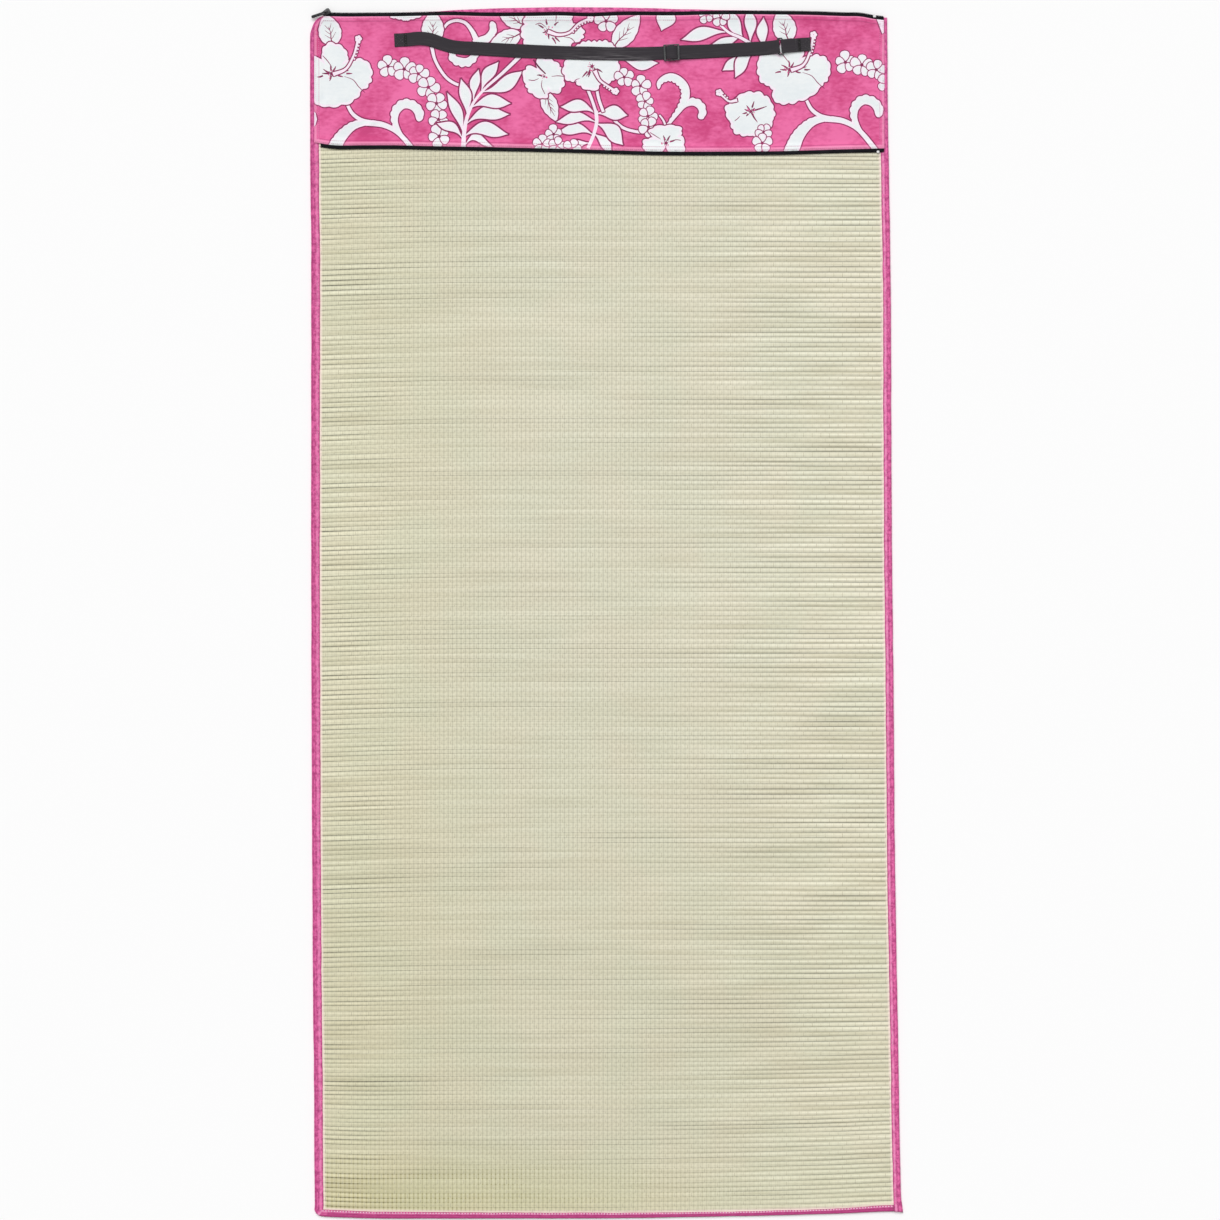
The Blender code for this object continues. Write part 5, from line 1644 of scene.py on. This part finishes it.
def webbing_material():
    """Ribbed black polyester, paler in long streaks, partly wear and partly painted sheen, with a painted
    shadow where it lifts by the seam of its sewn end.
    """
    made, shader = new_material("black webbing", 0.7, Sheen_Weight=0.1, Specular_IOR_Level=0.3)
    across, along, _ = coordinates(shader, "UV").parts()
    x = coordinates(shader).parts()[0]
    # Pale streaks about the mat's middle, on the strap's lower half: partly wear, partly painted sheen.
    wear_and_sheen_streaks = point_at(along * 26.0, across * 5.0).noise(1.0, 4.0, 0.65).stretched(0.42, 0.72)
    near = (x - 0.002).calc("ABSOLUTE").stretched(0.025, 0.09, 1.0, 0.14)
    lower = across.stretched(-0.9, 0.4, 1.0, 0.25)
    colour = mixed((wear_and_sheen_streaks * near).calc("MULTIPLY", lower, clamp=True), STRAP_BLACK, STRAP_WEAR_AND_SHEEN)
    # Painted shadow across the strap where it lifts from its sewn end, by the box seam.
    from_seam = (along - FOLD_SHADOW_FROM_END * MM).calc("ABSOLUTE")
    colour = mixed(from_seam.stretched(0.0012, 0.0032, 0.85, 0.0), colour, STRAP_FOLD_SHADOW)
    feed(shader.inputs["Base Color"], colour)
    bump(shader, ribs(along, WEBBING_RIB) + ribs(across, WEBBING_ROW) * 0.7, 0.00016, 0.7)
    return made


def box_seam(line, start, end, z, inset=2.2):
    """The stitch lines that hold an end down: a box, and a cross in it."""
    low, high = start + inset, end - inset
    aside = STRAP_WIDE / 2 - inset
    corners = [(low, -aside), (high, -aside), (high, aside), (low, aside), (low, -aside)]
    seams = []
    for here, there in [*zip(corners, corners[1:]), (corners[0], corners[2]), (corners[1], corners[3])]:
        route = np.linspace(here, there, 12)
        seams.append(line.place(route[:, 0], route[:, 1], z))
    return seams


strap_random = np.random.default_rng(STRAP_SEED)
line = StrapLine()
polyester = webbing_material()
black_thread = thread_material("black thread", (0.016, 0.015, 0.017), (0.03, 0.028, 0.03))
strap = webbing("carrying_strap", line, strap_path(line), strap_random)
tab = webbing("ring_tab", line, tab_path(line), strap_random)
for piece, node in ((strap, "strap"), (tab, "strap_tab")):
    piece.data.materials.append(polyester)
    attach(piece, "root")
    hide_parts(node)
tab_end = line.distance(TAB_END_X)
STITCH_LIES = STRAP_THICK / 2 + 0.05
left_box = sewn("strap_end_stitches", box_seam(line, 0, STRAP_SEWN_LONG, ONE_PLY + STITCH_LIES), black_thread)
tab_seam = box_seam(line, tab_end - TAB_SEWN_LONG, tab_end, TWO_PLIES + STITCH_LIES)
tab_box = sewn("tab_end_stitches", tab_seam, black_thread)
for piece in (left_box, tab_box):
    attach(piece, "root")

# ---- The ring and the slide adjuster
# A rectangular wire ring in black paint, and a three-bar adjuster moulded in black plastic.
# The adjuster lies tilted, because the plies of webbing pass under its right bar.
RING_LONG, RING_CORNER = 24.0, 1.5
ADJUSTER_LONG, ADJUSTER_HIGH, ADJUSTER_THICK = 24.0, 24.4, 1.6
ADJUSTER_BAR, ADJUSTER_MIDDLE_BAR, ADJUSTER_RAIL = 3.2, 3.0, 1.6
ADJUSTER_CORNER, SLOT_CORNER, ADJUSTER_SOFT = 1.4, 0.5, 0.35
ADJUSTER_MIDDLE, ADJUSTER_SHIFT = 8.3, -0.2
ADJUSTER_TILT = math.radians(7.1)


def rounded_box(x, y, wide, high, corner, step_deg=30):
    """A rectangle's outline with rounded corners."""
    outline = []
    for i, j, start in ((1, 1, 0), (-1, 1, 90), (-1, -1, 180), (1, -1, 270)):
        for degrees in range(start, start + 91, step_deg):
            along, aside = corner * direction(math.radians(degrees))
            outline.append((x + i * (wide / 2 - corner) + along, y + j * (high / 2 - corner) + aside))
    return outline


def strap_ring(line):
    """The ring's wire as points round its rounded rectangle."""
    middle = line.distance(RING_X) + RING_BARS_APART / 2
    outline = rounded_box(middle, 0, RING_BARS_APART, RING_LONG, RING_CORNER, 15)
    route = [line.place(along, aside, RING_HIGH) for along, aside in outline]
    return points_piece("wire_ring", route, [*line_edges(len(route)), (len(route) - 1, 0)])


def rounded_plate(name, outlines, thick, soft):
    """A plate with those outlines, the first its edge and the others holes, its edges rounded by soft."""
    curve = bpy.data.curves.new(name, "CURVE")
    curve.dimensions = "2D"
    curve.fill_mode = "BOTH"
    curve.extrude = (thick / 2 - soft) * MM
    curve.bevel_depth = soft * MM
    curve.bevel_resolution = 2
    curve.offset = -soft * MM
    for outline in outlines:
        spline = curve.splines.new("POLY")
        spline.points.add(len(outline) - 1)
        for point, (x, y) in zip(spline.points, outline):
            point.co = (x * MM, y * MM, 0, 1)
        spline.use_cyclic_u = True
    mesh = plain_mesh(linked(name, curve))
    work = bmesh.new()
    work.from_mesh(mesh)
    bmesh.ops.remove_doubles(work, verts=work.verts, dist=1e-6)
    bmesh.ops.recalc_face_normals(work, faces=work.faces)
    work.to_mesh(mesh)
    work.free()
    mesh.shade_smooth()
    mesh.set_sharp_from_angle(angle=math.radians(40))
    return linked(name, mesh)


def adjuster_plate(line):
    """The adjuster in place on the strap."""
    slot = (ADJUSTER_LONG - 2 * ADJUSTER_BAR - ADJUSTER_MIDDLE_BAR) / 2
    slot_middle = (slot + ADJUSTER_MIDDLE_BAR) / 2
    outlines = [rounded_box(0, 0, ADJUSTER_LONG, ADJUSTER_HIGH, ADJUSTER_CORNER)]
    for side in (-1, 1):
        middle, high = side * slot_middle, ADJUSTER_HIGH - 2 * ADJUSTER_RAIL
        outlines.append(rounded_box(middle, 0, slot, high, SLOT_CORNER))
    plate = rounded_plate("slide_adjuster", outlines, ADJUSTER_THICK, ADJUSTER_SOFT)
    along = line.distance(ADJUSTER_X)
    place = Vector(line.place(along, ADJUSTER_SHIFT, ADJUSTER_MIDDLE)) * MM
    turn = Matrix.Rotation(float(line.heading(along)), 4, "Z") @ Matrix.Rotation(-ADJUSTER_TILT, 4, "Y")
    plate.data.transform(Matrix.Translation(place) @ turn)
    return plate


def black_fitting(name, roughness, glint, metallic=0.0):
    """Black plastic or paint with pale patches of painted glint and a faintly pitted face."""
    patches, grain = (160.0, 4.0, 0.65), (900.0, 2.0, 0.35)
    sheen = {"Metallic": metallic, "Coat_Weight": 0.15}
    return mottled(name, roughness, (0.014, 0.014, 0.016), glint, patches, (0.55, 0.8), grain, **sheen)


painted_wire = black_fitting("black painted wire", 0.35, (0.07, 0.07, 0.075))
ring = grown(strap_ring(line), wire, Radius=WIRE_RADIUS * MM, Sides=16, Material=painted_wire)
adjuster = adjuster_plate(line)
adjuster.data.materials.append(black_fitting("black moulded plastic", 0.42, (0.06, 0.06, 0.065)))
for piece, node in ((ring, "strap_ring"), (adjuster, "strap_adjuster")):
    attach(piece, "root")
    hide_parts(node)

# ---- The zip's slider, pull and stops
# A painted metal slider left askew at the end of the head zip half, with a pull on a wire bail.
# Each coil's right end is closed by a small pale stop.
SLIDER_AT, SLIDER_TURN = (-414.6, 892.1), math.radians(30)
SLIDER_LONG, SLIDER_TOP = 12.4, 7.4
PULL_LONG, PULL_WIDE, PULL_THICK = 21.5, 4.4, 1.0
PULL_HEADING, PULL_DROP = math.radians(196.5), math.radians(11)
PULL_HIGH, BAIL_TOP, BAIL_REACH, BAIL_WIRE = 9.0, 11.0, 2.2, 0.45
GRIPS, GRIP_PITCH = 5, 1.3
STOP_HIGH, STOP_WIDE = 6.25, 3.4
HEAD_STOP, LOWER_STOP = (399.7, 886.2, 4.2), (404.9, 684.8, 3.8)


def put(piece, x, y, z, *turns):
    """Turns the mesh and moves it to its place, in millimetres."""
    matrix = Matrix.Translation(Vector((x, y, z)) * MM)
    for angle, axis in turns:
        matrix = matrix @ Matrix.Rotation(angle, 4, axis)
    piece.data.transform(matrix)
    return piece


def merged(name, pieces):
    """Several mesh objects as one."""
    work = bmesh.new()
    for piece in pieces:
        work.from_mesh(piece.data)
        bpy.data.objects.remove(piece)
    mesh = bpy.data.meshes.new(name)
    work.to_mesh(mesh)
    work.free()
    mesh.materials.clear()
    return linked(name, mesh)


def slider_outline(nose, tail):
    """A slider plate seen from above: wide at its nose, with a rounded tail."""
    half = SLIDER_LONG / 2
    upper = [(-half, tail), (-half + 2.2, tail + 0.2), (half - 3.4, nose)]
    upper += [(half - 1.2, nose - 0.5), (half, nose - 1.8)]
    return [*upper, *[(x, -y) for x, y in upper[::-1]]][::-1]


def slider_part(name, outline, thick, soft, z):
    return put(rounded_plate(name, [outline], thick, soft), *SLIDER_AT, z, (SLIDER_TURN, "Z"))


def zip_slider():
    """Two plates joined by a post at the nose, low flanges beside the coil, and the bail."""
    parts = [
        slider_part("top", slider_outline(4.6, 3.3), 1.0, 0.3, SLIDER_TOP - 0.5),
        slider_part("under", slider_outline(4.4, 3.1), 0.9, 0.25, 3.1),
        slider_part("post", rounded_box(SLIDER_LONG / 2 - 1.7, 0, 2.2, 1.8, 0.6), 3.6, 0.2, 5.2),
    ]
    for side in (-1, 1):
        flange = rounded_box(-0.8, side * 3.1, SLIDER_LONG - 3.4, 0.9, 0.3)
        parts.append(slider_part("flange", flange, 1.4, 0.2, SLIDER_TOP - 1.5))
    arch = [(-BAIL_REACH, 0, SLIDER_TOP - 0.6)]
    for step in range(13):
        angle = math.pi * (1 - step / 12)
        arch.append((BAIL_REACH * math.cos(angle), 0, PULL_HIGH + (BAIL_TOP - PULL_HIGH) * math.sin(angle)))
    arch.append((BAIL_REACH, 0, SLIDER_TOP - 0.6))
    bail = points_piece("bail", arch, line_edges(len(arch)))
    bail = grown(bail, wire, Radius=BAIL_WIRE * MM, Sides=10, Material=nylon)
    parts.append(put(bail, *SLIDER_AT, 0, (SLIDER_TURN, "Z")))
    return merged("slider", parts)


def zip_pull():
    """A slim pull with an eye at the bail, a long window's rim, and a grip near its tip."""
    half = PULL_WIDE / 2
    nose = [(math.sin(a) * half, math.cos(a) * half) for a in np.linspace(0, math.pi, 13)]
    outline = [(-x, y) for x, y in nose]
    outline += [(x + PULL_LONG - half, y) for x, y in nose[::-1]]
    eye = [(math.cos(a), math.sin(a)) for a in np.linspace(0, 2 * math.pi, 16, endpoint=False)]
    body = rounded_plate("pull", [outline, eye], PULL_THICK, 0.2)
    grips = []
    for k in range(GRIPS):
        rib = rounded_box(PULL_LONG - 3.2 - GRIP_PITCH * k, 0, 0.6, 2.8, 0.25)
        grips.append(put(rounded_plate("rib", [rib], 0.5, 0.12), 0, 0, PULL_THICK / 2 + 0.1))
    pull = merged("slider_pull", [body, *grips])
    leg = Matrix.Rotation(SLIDER_TURN, 2) @ Vector((-BAIL_REACH, 0))
    place = (SLIDER_AT[0] + leg.x, SLIDER_AT[1] + leg.y, PULL_HIGH)
    return put(pull, *place, (PULL_HEADING, "Z"), (PULL_DROP, "Y"))


def zip_stop(name, x, y, long):
    """A pale folded staple over the coil's end, its two legs turned down."""
    bridge = rounded_plate("bridge", [rounded_box(0, 0, long, STOP_WIDE, 0.5)], 0.9, 0.25)
    parts = [put(bridge, x, y, STOP_HIGH)]
    for side in (-1, 1):
        leg = rounded_box(0, side * (STOP_WIDE / 2 - 0.35), long - 0.6, 0.6, 0.2)
        parts.append(put(rounded_plate("leg", [leg], 1.6, 0.15), x, y, STOP_HIGH - 0.95))
    return merged(name, parts)


painted_metal = black_fitting("black painted metal", 0.4, (0.11, 0.11, 0.115), metallic=0.3)
stop_plastic = mottled(
    "pale stop", 0.45, (0.55, 0.55, 0.56), (0.86, 0.86, 0.85), (300.0, 2.0), Specular_IOR_Level=0.5
)
slider, pull = zip_slider(), zip_pull()
head_stop = zip_stop("head_stop", *HEAD_STOP)
lower_stop = zip_stop("lower_stop", *LOWER_STOP)
for piece, node, finish_slot, finish in (
    (slider, "zip_slider", "zip_metal", painted_metal),
    (pull, "zip_pull", "zip_metal", painted_metal),
    (head_stop, "zip_head_stop", "zip_end", stop_plastic),
    (lower_stop, "zip_lower_stop", "zip_end", stop_plastic),
):
    piece.data.materials.append(finish)
    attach(piece, "root")
    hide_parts(node)

# ---- Floor, light and camera
# The mat lies on a plain pale floor under one soft light that leans from its head, and is seen from above.
FLOOR_HALF, FLOOR_LOW, FLOOR_PALE = 4, -0.0002, 0.94
LIGHT, SKY_SHARE = 1.04, 0.42
LIGHT_LEAN, LIGHT_TURN, LIGHT_SPREAD = 32, 12, 50
CAMERA_X, CAMERA_Y, CAMERA_HIGH = 0.0068, 0.0043, 6.0
STRAW_HIGH, SEEN_WIDE, SENSOR = 0.003, 1.8129, 36
floor_mesh = bpy.data.meshes.new("floor")
floor_corners = [(x * FLOOR_HALF, y * FLOOR_HALF, FLOOR_LOW) for x, y in ((-1, -1), (1, -1), (1, 1), (-1, 1))]
floor_mesh.from_pydata(floor_corners, [], [(0, 1, 2, 3)])
floor_mesh.materials.append(new_material("pale floor", 0.9, Base_Color=(FLOOR_PALE,) * 3)[0])
floor = linked("floor", floor_mesh)

world = bpy.data.worlds.new("studio")
world.use_nodes = True
sky = world.node_tree.nodes["Background"]
sky.inputs["Color"].default_value = (1, 1, 1, 1)
sky.inputs["Strength"].default_value = SKY_SHARE
bpy.context.scene.world = world

soft_light = linked("soft light", bpy.data.lights.new("soft light", "SUN"))
soft_light.data.angle = math.radians(LIGHT_SPREAD)
soft_light.data.energy = (LIGHT - SKY_SHARE) * math.pi / math.cos(math.radians(LIGHT_LEAN))
soft_light.rotation_euler = (math.radians(-LIGHT_LEAN), 0, math.radians(LIGHT_TURN))

camera = linked("camera", bpy.data.cameras.new("camera"))
camera.data.sensor_width = SENSOR
camera.data.lens = SENSOR * (CAMERA_HIGH - STRAW_HIGH) / SEEN_WIDE
camera.location = (CAMERA_X, CAMERA_Y, CAMERA_HIGH)
bpy.context.scene.camera = camera
bpy.context.scene.view_settings.view_transform = "Standard"
